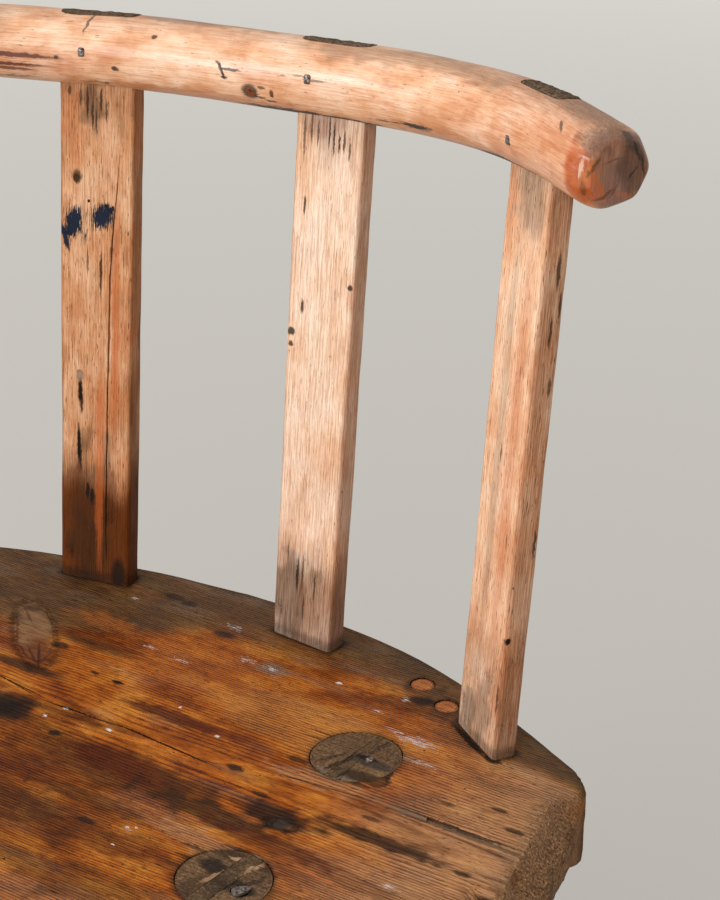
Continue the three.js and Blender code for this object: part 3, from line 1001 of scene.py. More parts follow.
@dataclass
class Slat:
    """One flat slat: through the seat at its foot and through the rail at its top."""

    name: str
    line: RailLine
    look: SlatLook
    cracks: tuple[Crack, ...] = ()
    arris: float = 2.4

    def __post_init__(self) -> None:
        """Measures the slat's lean, turn, width and thickness on the CAD slat."""
        self.node = f"slat_{self.name}"
        low, high = measures(self.node)
        self.foot, self.head = low[2], high[2]
        heights = np.linspace(self.foot + 50, self.head - 50, 5)
        rows = [self._measure(height) for height in heights]
        self.across_fit = [np.polyfit(heights, [row[0][axis] for row in rows], 1) for axis in (0, 1)]
        self.turn_fit = np.polyfit(heights, [row[1] for row in rows], 1)
        self.width = float(np.mean([row[2] for row in rows]))
        self.thickness = float(np.mean([row[3] for row in rows]))

    def _measure(self, height: float) -> tuple[Array, float, float, float]:
        """Middle, turn, width and thickness of the slat at a height."""
        cuts = section(self.node, np.array((0, 0, height)), Z_AXIS)[:, :2]
        best = None
        for turn in np.radians(np.arange(-60, 60, 0.25)):
            across = cuts @ (math.cos(turn), math.sin(turn))
            through = cuts @ (-math.sin(turn), math.cos(turn))
            if best is None or np.ptp(through) < best[3]:
                middle = np.array(((across.min() + across.max()) / 2, (through.min() + through.max()) / 2))
                place = np.array((math.cos(turn) * middle[0] - math.sin(turn) * middle[1],
                                  math.sin(turn) * middle[0] + math.cos(turn) * middle[1]))
                best = (place, turn, float(np.ptp(across)), float(np.ptp(through)))
        return best

    def frame_at(self, height: Array) -> tuple[Array, Array, Array]:
        """Middle, width direction and thickness direction at heights."""
        middle = np.column_stack((*(np.polyval(fit, height) for fit in self.across_fit), height))
        turn = np.polyval(self.turn_fit, height)
        across = np.column_stack((np.cos(turn), np.sin(turn), 0 * turn))
        through = np.column_stack((-np.sin(turn), np.cos(turn), 0 * turn))
        return middle, across, through

    def local(self, points: Array) -> Array:
        """How high each point is, and how far across and through the slat."""
        middle, across, through = self.frame_at(points[:, 2])
        away = points - middle
        return np.column_stack((points[:, 2], (away * across).sum(axis=1), (away * through).sum(axis=1)))

    def outside(self, points: Array) -> Array:
        """How far each point is outside the slat."""
        local = self.local(points)
        return np.maximum(np.abs(local[:, 1]) - self.width / 2, np.abs(local[:, 2]) - self.thickness / 2)

    def board(self, name: str, room: float, steps: Sequence[Sequence[int]]) -> Workpiece:
        """The slat, or with room added the mortise that it passes through."""
        line = self.line
        top_spare = 12.0 if room else 0.0

        def form(raw: Array) -> Array:
            """Gives the block rounded arrises and a top that follows the rail."""
            share = (raw[:, 2] + 1) / 2
            rough_height = self.foot + share * (self.head - self.foot)
            half = np.array((self.width / 2, self.thickness / 2)) + room
            flat = raw[:, :2] * half
            spot = np.column_stack((flat, rough_height))
            arris = self.arris + 0.7 * noise(spot, (40, 40, 30), 11)
            rounded = smoothstep(rough_height, self.head - 30, self.head - 22)
            arris = arris + rounded * (self.thickness / 2 - 0.3 - arris)
            inner = np.clip(flat, -(half - arris[:, None]), half - arris[:, None])
            out = flat - inner
            size = np.linalg.norm(out, axis=1)
            round_off = np.where(size > 1e-6, np.minimum(1, np.maximum(np.abs(out).max(axis=1), 1e-6)
                                                         / np.maximum(size, 1e-6)), 1)
            flat = inner + out * round_off[:, None]
            middle, across, through = self.frame_at(rough_height)
            points = middle + across * flat[:, :1] + through * flat[:, 1:]
            run = line.local(points)
            over = np.sqrt(np.maximum((line.diameter / 2) ** 2 - np.clip(run[:, 1], -14, 14) ** 2, 1))
            place = line.at(run[:, 0])[0]
            crown = place[:, 2] + over + top_spare - (0.15 if not room else 0)
            bottom = self.foot - top_spare
            height = bottom + share * (crown - bottom)
            middle, across, through = self.frame_at(height)
            return middle + across * flat[:, :1] + through * flat[:, 1:]

        return Workpiece.block(name, steps).shape(form)

    def build(self) -> Workpiece:
        """The slat with its crack cut and its surface shaved uneven."""
        slat = self.board(f"{self.node}_wood", 0.0, ((34,), (11,), (20, 13)))
        points = slat.points()
        local = self.local(points)
        normals = slat.normals()
        level = np.abs(normals[:, 2]) < 0.7
        waves = 0.35 * noise(local, (55, 18, 9), 12) + 0.14 * noise(local, (14, 5, 5), 13)
        fibres = 0.07 * noise(local, (22, 1.6, 1.6), 14)
        ragged = 0.4 * noise(local, (3, 2.5, 2.5), 15) + 0.2
        slat.raise_by(np.where(level, waves + fibres - 0.1, np.where(normals[:, 2] > 0, ragged, 0.0))
                      + dents(points, Z_AXIS, self.look.blots))
        into = self.frame_at(np.array([550.0]))[2][0]
        tools = [crack.tool(into) for crack in self.cracks]
        if tools:
            slat.cut(tools)
        return slat

    def dress(self, slat: Workpiece) -> None:
        """Marks the wood and dresses it."""
        points = slat.points()
        local = self.local(points)
        side = smoothstep(np.abs(local[:, 1]), self.width / 2 - 2.6, self.width / 2 - 0.6)
        skin = np.minimum(self.width / 2 - np.abs(local[:, 1]), self.thickness / 2 - np.abs(local[:, 2]))
        smear = noise(local, (40, 9, 9), 16)
        stain_height, stain_strength = self.look.stain
        foot = smoothstep(-local[:, 0] + 12 * smear, -stain_height, -stain_height + 34)
        contact = smoothstep(-local[:, 0] + 1.5 * smear, -413, -408)
        head = smoothstep(local[:, 0] + 8 * smear, 668, 700)
        speck = smoothstep(noise(local, (12, 3, 3), 17), 0.1, 0.8)
        top = smoothstep(local[:, 0], self.head - 7, self.head - 4)
        slat.record("grain", local * MM)
        slat.record("rings", (local[:, 1] + 0.35 * local[:, 2]) / 1.7
                    + 1.2 * noise(local, (150, 14, 14), 18))
        # Painted shade on the walls of the crack and the nail hole, and at half strength on the foot inside
        # the seat's mortise
        walls = smoothstep(skin, 1.5, 3.0) * (local[:, 0] < self.head - 12) * (local[:, 0] > 410)
        slat.record("painted_recess_shade", np.maximum(0.9 * walls, 0.5 * contact))
        slat.record("open", np.maximum(top, 0.5 * foot * speck))
        slat.coat(points, Z_AXIS, self.look.blots, (
            (AMBER, 0.42 * side),
            (UMBER, side * (0.2 + 0.2 * smear) * self.look.grime / 0.5),
            (WEATHER, self.look.grime * 0.45 * speck),
            (SIENNA, foot * stain_strength),
            (UMBER, head * (0.22 + 0.2 * smear)),
            (PUTTY, top * 0.9),
        ))
        finish = replace(SLAT_BIRCH, name=f"Shaved birch, dry, {self.name}", tones=self.look.tones,
                         fleck_share=self.look.flecks)
        edge = self.width / 2 - 1.8
        marks = Mark.all_of(self.look.blots, self.local,
                            lambda place: np.eye(3)[1 if abs(place[1]) > edge else 2])
        slat.finish(self.node, "back_birch", finish.make(marks))


@dataclass
class Leg:
    """A riven leg, shaved to facets, whose round tenon comes up through the seat and is wedged."""

    name: str
    wedge: tuple[float, float]
    turn: float
    nail: tuple[float, float, float, float, float] | None = None
    blots: tuple[Blot, ...] = ()
    facets: int = 10
    foot_diameter: float = 37.0
    middle_diameter: float = 50.0
    top_diameter: float = 52.0
    wedge_depth: float = 28.0
    wedge_tip: float = 1.6
    tenon_radius: float = 22.5

    def __post_init__(self) -> None:
        """Measures the tenon's axis on the CAD leg."""
        self.node = f"leg_{self.name}"
        self.seat_low, self.seat_high = (corner.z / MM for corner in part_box("seat_plank"))
        middles = []
        for height in (self.seat_low + 1, self.seat_low + 15):
            cuts = section(self.node, np.array((0, 0, height)), Z_AXIS)
            middles.append((cuts.min(axis=0) + cuts.max(axis=0)) / 2)
        self.direction = unit(middles[1] - middles[0])
        self.top = middles[0] + self.direction * (self.seat_high - middles[0][2]) / self.direction[2]
        lean = Vector((0, 0, 1)).rotation_difference(Vector(self.direction)).to_matrix()
        self.side = np.array(lean @ Vector((1, 0, 0)))
        self.back = np.array(lean @ Vector((0, 1, 0)))
        self.length = self.seat_high / self.direction[2]

    def local(self, points: Array) -> Array:
        """How far each point is up the leg from its tenon's top, and to its side and back."""
        away = points - self.top
        return np.column_stack((away @ self.direction, away @ self.side, away @ self.back))

    def outside(self, points: Array) -> Array:
        """How far each point is outside the tenon."""
        local = self.local(points)
        return np.hypot(local[:, 1], local[:, 2]) - self.tenon_radius

    def world(self, along: Array, side: Array, back: Array) -> Array:
        """The place in mm of points given by where they are on the leg."""
        return (self.top + np.outer(along, self.direction) + np.outer(side, self.side)
                + np.outer(back, self.back))

    def tenon(self, name: str, room: float) -> Workpiece:
        """A round bar as long as the tenon and more, or with room added the bore that it sits in."""

        def form(raw: Array) -> Array:
            """Makes the bar round but not quite even, and lays it on the leg's axis."""
            ring = ringed(polar(raw)[0], 20, 12 * raw[:, 2])
            uneven = room * (1.2 + 0.9 * noise(ring + self.top, (12, 12, 40), 23))
            radius = self.tenon_radius + (uneven if room else 0.0)
            return self.world(raw[:, 2] * 70, raw[:, 0] * radius, raw[:, 1] * radius)

        return Workpiece.rod(name, 72, (8,), 2).shape(form)

    def blade(self, name: str, room: float) -> Workpiece:
        """The wedge before it is trimmed, or with room added the kerf that it is driven into."""
        angle = math.radians(self.turn)
        reach = self.tenon_radius + 3.0

        def form(raw: Array) -> Array:
            """Tapers the block to a blade, thicker at one end of its top."""
            share = (raw[:, 1] + 1) / 2
            thickness = self.wedge[0] + (self.wedge[1] - self.wedge[0]) * share
            height = np.where(raw[:, 2] > 0, 8 * raw[:, 2],
                              raw[:, 2] * (self.wedge_depth + room))
            depth_share = np.clip(-height / self.wedge_depth, -1, 1)
            half = (thickness + (self.wedge_tip - thickness) * depth_share) / 2 + room
            bow = 0.35 * noise(np.column_stack((0 * share, 40 * share, height)), (20, 9, 14), 24)
            across = raw[:, 0] * half + bow
            along = raw[:, 1] * reach
            return self.world(height, across * math.cos(angle) - along * math.sin(angle),
                              across * math.sin(angle) + along * math.cos(angle))

        return Workpiece.block(name, ((2,), (30,), (12,))).shape(form)

    def body(self, name: str) -> Workpiece:
        """The leg and its tenon in one, cut level at the floor and at the seat's top."""
        high = self.seat_high
        stations = np.array((0, 0.55, 0.75, 1.0)) * self.length
        radii = np.array((self.foot_diameter, self.middle_diameter, self.top_diameter,
                          2 * self.tenon_radius + 4)) / 2

        def form(raw: Array) -> Array:
            """Shaves the rod to the leg's outline and cuts it level."""
            share = (raw[:, 2] + 1) / 2
            angle, rho = polar(raw)
            rho = np.clip(rho, 0, 1)
            along = share * self.length
            wide = np.interp(along, stations, radii)
            half_turn = math.pi / self.facets
            within = np.mod(angle, 2 * half_turn) - half_turn
            faceted = wide * math.cos(half_turn) / np.cos(within)
            ring = ringed(angle, 20, along) + self.top
            shaved = (faceted + 0.5 * noise(ring, (9, 9, 60), 25)
                      + 0.2 * noise(ring, (5, 5, 18), 26))
            tenon = self.tenon_radius + 0.12 * noise(ring, (9, 9, 20), 27)
            shoulder = self.length - (self.seat_high - self.seat_low + 0.3) / self.direction[2]
            radius = np.where(along > shoulder, tenon, shaved)
            points = self.world(along - self.length, rho * radius * np.cos(angle),
                                rho * radius * np.sin(angle))
            level = np.where(share > 0.5, np.minimum(points[:, 2], high), np.maximum(points[:, 2], 0))
            level = np.where(share > 0.9999, high, np.where(share < 0.0001, 0, level))
            slide = (level - points[:, 2]) / self.direction[2]
            return points + slide[:, None] * self.direction

        return Workpiece.rod(name, 80, (18, 9), 16).shape(form)

    def build(self) -> None:
        """Builds the leg, its wedge and its nail, and dresses them."""
        leg = self.body(f"{self.node}_wood")
        leg.cut([self.blade("kerf_tool", SNUG_ROOM)])
        wedge = self.blade(f"wedge_{self.name}_wood", 0.0)
        wedge.cut([self.tenon("trim_tool", 0.0)], "INTERSECT")
        cap = Workpiece.block("cap_tool", ((1,), (1,), (1,))).shape(
            lambda raw: raw * (60, 60, 40) + self.top - (0, 0, 40))
        wedge.cut([cap], "INTERSECT")
        if self.nail:
            for piece in (leg, wedge):
                piece.cut([self.nail_body("nail_tool", SNUG_ROOM)])
            nail = self.nail_body(f"tenon_nail_{self.name}_iron", 0.0)
            nail.finish(f"tenon_nail_{self.name}", "nail_iron", NAIL_IRON.make())
        self.dress(leg, self.node, "leg_wood", LEG_WOOD)
        self.dress(wedge, f"wedge_{self.name}", "wedge_wood", WEDGE_WOOD)

    def nail_body(self, name: str, room: float) -> Workpiece:
        """A square forged nail with a hammered head, or with room added its hole."""
        side, back, head, shank, length = self.nail
        profile = ((-length - room, shank / 2 + room), (-3 * shank, shank + room), (-shank, shank + room),
                   (-shank / 2 - room, head + room), (0.1, head + room), (0.4 + room, head * 0.75 + room))
        heights, widths = zip(*profile)

        def form(raw: Array) -> Array:
            """Draws the rod out to a nail and knocks its head out of round."""
            height = np.interp(raw[:, 2], np.linspace(-1, 1, len(heights)), heights)
            width = np.interp(raw[:, 2], np.linspace(-1, 1, len(heights)), widths)
            angle, rho = polar(raw)
            base = self.local((self.top + (side, back, 0))[None, :])[0]
            reach = rho * width
            if not room:
                reach = reach * (1 - 0.1 * np.cos(3 * angle + 1) - 0.08 * np.cos(2 * angle))
                tip = raw[:, 2] > 0.99
                height = height + 0.5 * np.maximum(0, 1 - rho) * tip * np.cos(angle - 0.6)
            return self.world(height + base[0], base[1] + reach * np.cos(angle),
                              base[2] + reach * np.sin(angle))

        return Workpiece.rod(name, 24, (20,), 5).shape(form)

    def dress(self, piece: Workpiece, node: str, slot: str, finish: WoodFinish) -> None:
        """Roughens the end grain, marks the wood and dresses it."""
        points = piece.points()
        normals = piece.normals()
        level = points[:, 2] > self.seat_high - 0.05
        local = self.local(points)
        flat = local[:, (1, 2, 0)] * (1, 1, 0)
        inside = np.hypot(local[:, 1], local[:, 2]) < self.tenon_radius - 1.2
        pits = -0.35 * smoothstep(noise(flat, (2.2, 5, 9), 28), 0.15, 0.75)
        height = np.where(level & inside & (normals[:, 2] > 0.5), pits, 0)
        height = height + dents(points, X_AXIS, self.blots) * (normals[:, 2] > 0.5)
        points[:, 2] += height * (points[:, 2] > self.seat_high - 6)
        piece.move_to(points)
        ends = level & (normals[:, 2] > 0.6)
        grain = np.where(ends[:, None], flat * (0.4, 1, 1), local)
        piece.record("grain", grain * MM)
        reach = np.hypot(local[:, 1] + 3, local[:, 2] - 4)
        piece.record("rings", reach / 1.7 + 0.8 * noise(local, (90, 12, 12), 29))
        # Painted shade on the tenon below the seat's top, inside its bore, darkest in the kerf
        under = smoothstep(self.seat_high - points[:, 2], 1.0, 4.0) * (points[:, 2] > self.seat_low)
        kerf = np.hypot(local[:, 1], local[:, 2]) < self.tenon_radius - 0.8
        piece.record("painted_recess_shade", 0.95 * under * np.where(kerf, 1, 0.8))
        top = smoothstep(points[:, 2], self.seat_high - 2.0, self.seat_high - 0.8)
        foot = smoothstep(-points[:, 2], -70, -4)
        smear = 0.5 + 0.5 * noise(points, (30, 30, 70), 30)
        piece.coat(points, X_AXIS, self.blots, (
            (UMBER, 0.5 * foot + 0.25 * smear * (1 - top)),
            (OLIVE, 0.42 * top),
            (WEATHER, 0.35 * top),
        ))
        piece.record("open", 0.7 * top)
        marks = Mark.all_of(self.blots, lambda places: self.local(places)[:, (1, 2, 0)] * (0.4, 1, 0))
        piece.finish(node, slot, finish.make(marks))


@dataclass
class Plug:
    """A round pine plug in an old peg hole."""

    number: int

    def __post_init__(self) -> None:
        """Measures the plug on its CAD node."""
        self.node = f"seat_plug_{self.number}"
        low, high = measures(self.node)
        self.middle = (low + high) / 2
        self.radius = (high[0] - low[0]) / 2
        self.half = (high[2] - low[2]) / 2

    def body(self, name: str, room: float) -> Workpiece:
        """The plug with a worn crown, or with room added its hole."""

        def form(raw: Array) -> Array:
            """Sets the rod to the plug's size and whittles it."""
            angle, rho = polar(raw)
            ring = ringed(angle, 5, 9 * raw[:, 2]) + self.middle
            radius = self.radius - 0.05
            if room:
                radius = self.radius + room * (1.3 + noise(ring, (5, 5, 30), 31))
            height = raw[:, 2] * (self.half + 2 * room)
            crown = -0.5 * rho ** 6 * (raw[:, 2] > 0.99) * (room == 0)
            return ringed(angle, rho * radius, height + crown) + self.middle

        return Workpiece.rod(name, 40, (10,), 8).shape(form)

    def build(self) -> None:
        """Builds the plug and dresses it."""
        plug = self.body(f"{self.node}_wood", 0.0)
        points = plug.points()
        away = points - self.middle
        plug.record("grain", away * MM)
        plug.record("rings", np.hypot(away[:, 0] + 9, away[:, 1] * 0.8) / 1.6)
        # Painted shade on the plug's side below the seat's top, inside its hole
        plug.record("painted_recess_shade", smoothstep(self.half - away[:, 2], 1.0, 3.0))
        edge = smoothstep(np.hypot(away[:, 0], away[:, 1]), self.radius - 1.6, self.radius - 0.2)
        plug.coat(points, X_AXIS, (), ((UMBER, 0.75 * edge),))
        plug.finish(self.node, "plug_wood", PLUG_PINE.make())


@dataclass
class RailNail:
    """A small nail through the front of the rail into a slat."""

    name: str
    line: RailLine

    def __post_init__(self) -> None:
        """Measures the nail's head and direction on its CAD node."""
        self.node = f"rail_nail_{self.name}"
        points = node_points(self.node)
        head = points[np.argsort(points[:, 1])[:13]].mean(axis=0)
        run = self.line.local(head[None, :])
        _, _, front, _ = self.line.at(run[:, 0])
        self.out = front[0]
        reach = points @ self.out
        self.head = points[reach > reach.max() - 0.3].mean(axis=0)
        self.length = float(np.ptp(reach))

    def body(self, name: str, room: float) -> Workpiece:
        """The nail, or with room added its hole."""
        side = unit(np.cross(self.out, Z_AXIS))
        heights = (-self.length - room, -6, -2.2, -1.4 - room, -0.3, 0.0 + 3 * room)
        widths = (0.5 + room, 1.25 + room, 1.25 + room, 2.3 + room, 2.4 + room, 2.0 + room * 1.5)

        def form(raw: Array) -> Array:
            """Draws the rod out to a nail with a rough square head."""
            height = np.interp(raw[:, 2], np.linspace(-1, 1, 6), heights)
            width = np.interp(raw[:, 2], np.linspace(-1, 1, 6), widths)
            angle, rho = polar(raw)
            across = rho * width * (1 - 0.12 * np.cos(4 * angle))
            return (self.head + np.outer(height, self.out) + np.outer(across * np.cos(angle) * 0.8, side)
                    + np.outer(across * np.sin(angle), Z_AXIS))

        return Workpiece.rod(name, 16, (15,), 3).shape(form)

    def build(self) -> None:
        """Builds the nail and dresses it."""
        self.body(f"{self.node}_iron", 0.0).finish(self.node, "nail_iron", NAIL_IRON.make())


@dataclass
class SeatPlank:
    """The half-moon plank: ridged grain, worn ends, old cracks and years of stains."""

    arris: float = 3.0
    end_arris: float = 12.5
    pith_depth: float = 24.0
    pith_side: float = -8.0
    ring_width: float = 1.75
    back_corner: float = 70.0

    KNOTS = (
        Knot((-69, 43), (40, 12), -46, 2.2),
        Knot((150, -38), (7.5, 5.5), 8, 1.2),
        Knot((-190, -40), (9, 6), 20, 1.2),
        Knot((40, -140), (8, 5), 0, 1.2),
    )
    # How far the grey grime reaches in from the back edge, by X
    GRIME = ((-300, 108), (-90, 100), (-20, 77), (14, 57), (60, 50), (113, 43), (187, 42), (235, 18),
             (300, 10))
    CRACKS = tuple(
        Crack(tuple((x, y, SEAT_TOP) for x, y in route), *rest) for route, *rest in (
            (((-60, -2), (-22, -10), (-6, -10.6), (37, -9), (84, -13), (104, -9)), 0.9, 7),
            (((118, -4), (150, 0.5), (176, 2)), 0.7, 5),
            (((182, 2.2), (214, 2.8), (240, 2.9), (270, 2), (297, 1)), 4.2, 1.3, True),
            (((-300, 30), (-240, 27), (-190, 29)), 0.9, 6),
            (((176, -112), (210, -110), (262, -113)), 0.7, 5),
        ))

    def __post_init__(self) -> None:
        """Measures the plank's outline on its CAD node."""
        low, high = self.low, self.high = measures("seat_plank")
        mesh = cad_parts["seat_plank"].data
        tree = BVHTree.FromPolygons([vertex.co for vertex in mesh.vertices],
                                    [face.vertices for face in mesh.polygons])
        height = (low[2] + high[2]) / 2 * MM
        self.rows = np.r_[np.linspace(low[1] + 0.05, high[1] - 14, 380),
                          high[1] - 14 * (1 - np.linspace(0, 1, 60)[1:]) ** 2]
        self.rows[-1] = high[1] - 0.02
        self.right, self.left = (
            np.array([tree.ray_cast((side, row * MM, height), (-side, 0, 0))[0].x / MM
                      for row in self.rows])
            for side in (1, -1))

    def outline(self) -> tuple[Array, Array]:
        """The plank's rim as close points in mm, all round and along the back alone."""
        right = np.column_stack((self.right, self.rows))
        left = np.column_stack((self.left, self.rows))
        loop = np.concatenate([left[:1], right[:1], right, left[::-1]])
        steps = mileage(loop)
        rim = look_up(np.arange(0, steps[-1], 0.5), steps, loop)
        return rim, rim[rim[:, 1] > self.back_corner]

    @staticmethod
    def _distance(points: Array, rim: Array) -> Array:
        """How far each point is from a rim, seen from above."""
        flat_points, flat_rim = (np.pad(places[:, :2], ((0, 0), (0, 1))) for places in (points, rim))
        return nearest(flat_points, flat_rim)[1]

    def rings(self, points: Array) -> Array:
        """Which growth ring each point is in, counted from the pith below the plank."""
        side = points[:, 1] - self.pith_side - 8 * noise(points, (210, 900, 900), 51)
        depth = points[:, 2] - (self.high[2] - self.pith_depth)
        phase = np.hypot(side, depth) / self.ring_width
        phase = phase + 1.1 * noise(points, (110, 26, 26), 52) + 0.3 * noise(points, (40, 9, 9), 53)
        for knot in self.KNOTS:
            reach = knot.reach(points)
            heart = 0.25 + 1.15 * smoothstep(reach + 0.1 * noise(points, (9, 9, 9), 67), 0.74, 1)
            phase = np.where(reach < 1, heart, phase + knot.swell * np.exp(-0.8 * reach ** 2))
        return phase

    def knot_reach(self, points: Array) -> Array:
        """How far each point is from the nearest knot's middle, where 1 is its edge."""
        return np.min([knot.reach(points) for knot in self.KNOTS], axis=0)

    def grime_reach(self, points: Array) -> Array:
        """How far the grey grime reaches in from the back edge at each point."""
        return np.interp(points[:, 0], *zip(*self.GRIME))

    def end_share(self, points: Array) -> Array:
        """1 along the worn ends of the plank, and 0 along its front and back."""
        right = np.interp(points[:, 1], self.rows, self.right)
        left = np.interp(points[:, 1], self.rows, self.left)
        side = np.minimum(right - points[:, 0], points[:, 0] - left)
        inward = smoothstep(-side, -60, -20)
        return inward * smoothstep(-points[:, 1], -self.back_corner, -self.back_corner + 26) * smoothstep(
            points[:, 1], self.low[1] + 8, self.low[1] + 34)

    def build(self, tools: Sequence[Workpiece]) -> Workpiece:
        """Shapes the plank, cuts its bores, mortises and cracks, and raises its grain.

        Args:
            tools: the pieces that cut the bores and mortises.
        """
        rim, _ = self.outline()
        row_share = np.linspace(0, 1, len(self.rows))
        ease = 0.06

        def column(share: Array) -> Array:
            """Even columns that crowd together at both ends."""
            slope = 1 / (1 - ease)
            near = np.minimum(share, 1 - share)
            packed = np.where(near < ease, slope / (2 * ease) * near ** 2, slope * near - slope * ease / 2)
            return np.where(share < 0.5, packed, 1 - packed)

        def form(raw: Array) -> Array:
            """Fits the block to the outline and rounds its arrises."""
            share = (raw[:, 1] + 1) / 2
            along = column((raw[:, 0] + 1) / 2)
            y = np.interp(share, row_share, self.rows)
            left, right = (np.interp(share, row_share, side) for side in (self.left, self.right))
            points = np.column_stack((left + along * (right - left), y, 0 * y))
            level = np.abs(raw[:, 2]) > 0.9999
            away = np.zeros(len(points))
            away[level] = self._distance(points[level], rim)
            away[(np.abs(raw[:, :2]) > 0.9999).any(axis=1)] = 0
            worn = self.end_share(points)
            radius = self.arris + (self.end_arris - self.arris) * worn
            radius = radius * (1 + 0.25 * noise(points, (26, 26, 26), 54))
            drop = radius - np.sqrt(np.maximum(radius ** 2 - np.maximum(radius - away, 0) ** 2, 0))
            slope = radius * np.clip(1 - away / (1.05 * radius), 0, 1) ** 0.85
            drop = drop + worn * (slope - drop)
            half = (self.high[2] - self.low[2]) / 2
            height = np.where(level, half - drop, np.abs(raw[:, 2]) * (half - radius))
            points[:, 2] = (self.high[2] + self.low[2]) / 2 + np.sign(raw[:, 2]) * height
            return points

        seat = Workpiece.block("seat_plank_wood", ((15, 10), (20, 20), (14,))).shape(form)
        self._thin_underside(seat)
        self._raise_grain(seat)
        seat.cut(tools)
        seat.cut([crack.tool(np.array((0, 0, -1.0))) for crack in self.CRACKS])
        return seat

    def _thin_underside(self, seat: Workpiece) -> None:
        """Merges faces below the seat, where the saw left it plain."""
        floor = (self.low[2] + 0.02) * MM
        with seat.edited("FACE", lambda face: all(vertex.co.z < floor for vertex in face.verts)):
            bpy.ops.mesh.decimate(ratio=0.16)

    def _raise_grain(self, seat: Workpiece) -> None:
        """Wears the early wood hollow, breaks up the ends and presses the dents in."""
        points = seat.points()
        normals = seat.normals()
        from_back = self._distance(points, self.outline()[1])
        upper = smoothstep(normals[:, 2], 0.3, 0.9)
        under = smoothstep(-normals[:, 2], 0.3, 0.9)
        worn = self.grime_reach(points).mean()
        open_grain = 0.25 + 0.75 * smoothstep(from_back, 0.5 * worn, 1.1 * worn)
        open_grain = open_grain * smoothstep(self.knot_reach(points), 0.7, 1.3)
        height = upper * (0.12 * open_grain * noise(points, (50, 9, 9), 55)
                          + 0.5 * noise(points, (90, 45, 45), 57))
        height = height + under * (0.25 * noise(points, (6, 60, 20), 58)
                                   + 0.2 * noise(points, (30, 4, 9), 59))
        wall = 1 - np.maximum(upper, under)
        ends = self.end_share(points)
        rough = noise(points, (7, 2.6, 2.6), 60) + 0.6 * noise(points, (4, 1.4, 1.4), 61)
        lumps = noise(points, (20, 13, 11), 62)
        height = height + wall * (1 - ends) * (0.3 * noise(points, (24, 14, 3), 63) + 0.12 * rough)
        height = height + (ends * smoothstep(np.abs(normals[:, 0]), 0.25, 0.8)
                           * (0.4 * rough + 1.2 * lumps - 0.5))
        height = height + dents(points, X_AXIS, SEAT_BLOTS) * upper
        notches = (
            *blots(
                (232, 93, 398, 7, 5, 1, 2.6, (0.6, -1, 0)), (252, 80, 400, 10, 4, 1, 1.6, (0.6, -1, 0)),
                (285, -24, 396, 15, 10, 1, 5, (0, 1, 0)), (268, -12, 403, 7, 5, 1, 3, (1, 1, 0)),
                (262, -38, 404, 9, 6, 1, 3, (1, 0.4, 0)), (278, 8, 400, 12, 6, 1, 2.4, (0, 1, 0)),
                (-296, -60, 398, 24, 8, 1, 3, (0, 1, 0)), (-70, -178, 398, 26, 7, 1, 2),
                (190, -178, 370, 30, 7, 1, 2.4)),
        )
        seat.raise_by(height + dents(points, X_AXIS, notches) * (1 + 0.3 * rough))

    def dress(self, seat: Workpiece, joints: Sequence[Field]) -> None:
        """Marks the wood and dresses it.

        Args:
            seat: the plank.
            joints: for each slat and leg, how far places are outside it, in mm.
        """
        points = seat.points()
        normals = seat.normals()
        contact = smoothstep(-np.min([joint(points) for joint in joints], axis=0), -3.5, -0.9)
        from_rim = self._distance(points, self.outline()[0])
        columns = np.linspace(-300, 300, len(self.rows))
        edge = np.interp(points[:, 0], columns, self.back_at(columns))
        swirl = noise(points, (60, 14, 14), 64)
        grime = smoothstep(points[:, 1] - (edge - self.grime_reach(points)) + 12 * swirl, -9, 16)
        below = self.high[2] - points[:, 2]
        top = smoothstep(-below, -6, -1.5)
        worn = self.end_share(points)
        ends = worn * smoothstep(-from_rim, -26, -4)
        # Paler towards the right end: bleaching, and also a painted sheen where the worn ridges there catch
        # the light
        bleach_and_sheen = smoothstep(points[:, 0] + 18 * swirl, 150, 235) * (1 - 0.7 * grime)
        fade_left = smoothstep(-points[:, 0] + 18 * swirl, 200, 280)
        rim_dirt = smoothstep(-from_rim, -7, -1)
        wall = smoothstep(below, 5, 12)
        under = smoothstep(-normals[:, 2], 0.4, 0.8)
        front_wear = smoothstep(-points[:, 1], 120, 165)
        seat.record("grain", points * MM)
        seat.record("rings", self.rings(points))
        # Painted shade on the walls of the bores, mortises and cracks, below the top and away from the rim
        inner = smoothstep(from_rim, 14, 17) * smoothstep(below, 1.2, 3.0) * (1 - under)
        seat.record("painted_recess_shade", 0.96 * inner)
        seat.coat(points, X_AXIS, SEAT_BLOTS, (
            # Bleaching with a painted sheen at the right end, and bleaching at the far left
            (TAN, 0.68 * np.maximum(bleach_and_sheen, 0.7 * fade_left) * top),
            (TAN, 0.35 * front_wear * top),
            (OLIVE, grime * (0.84 + 0.1 * swirl) * top),
            (SILVER, 0.25 * smoothstep(noise(points, (30, 8, 8), 65), 0.15, 0.8) * top),
            (UMBER, 0.4 * rim_dirt * (1 - ends)),
            (OLIVE, 0.6 * wall * (1 - ends)),
            (WEATHER, 0.75 * np.maximum(ends, wall * worn)),
            (TAN, 0.8 * worn * np.maximum(ends, wall)),
            (UMBER, 0.4 * worn * wall * smoothstep(noise(points, (9, 9, 5), 68), 0, 0.6)),
            (SOOT, 0.7 * contact * top),
            (PUTTY, 0.85 * under * (1 - inner)),
        ))
        reach = self.knot_reach(points)
        bark = 0.5 * smoothstep(reach, 0.8, 0.95) * smoothstep(-reach, -1.2, -1.05) * top
        seat.record("open", np.maximum(np.maximum(0.95 * ends, bark), 0.5 * wall * (1 - under)))
        marks = Mark.all_of(SEAT_BLOTS, lambda places: places)
        seat.finish("seat_plank", "seat_pine", SEAT_PINE.make(marks))

    def back_at(self, columns: Array) -> Array:
        """How far back the plank reaches at places along X."""
        back = self.outline()[1]
        order = np.argsort(back[:, 0])
        return np.interp(columns, back[order, 0], back[order, 1])


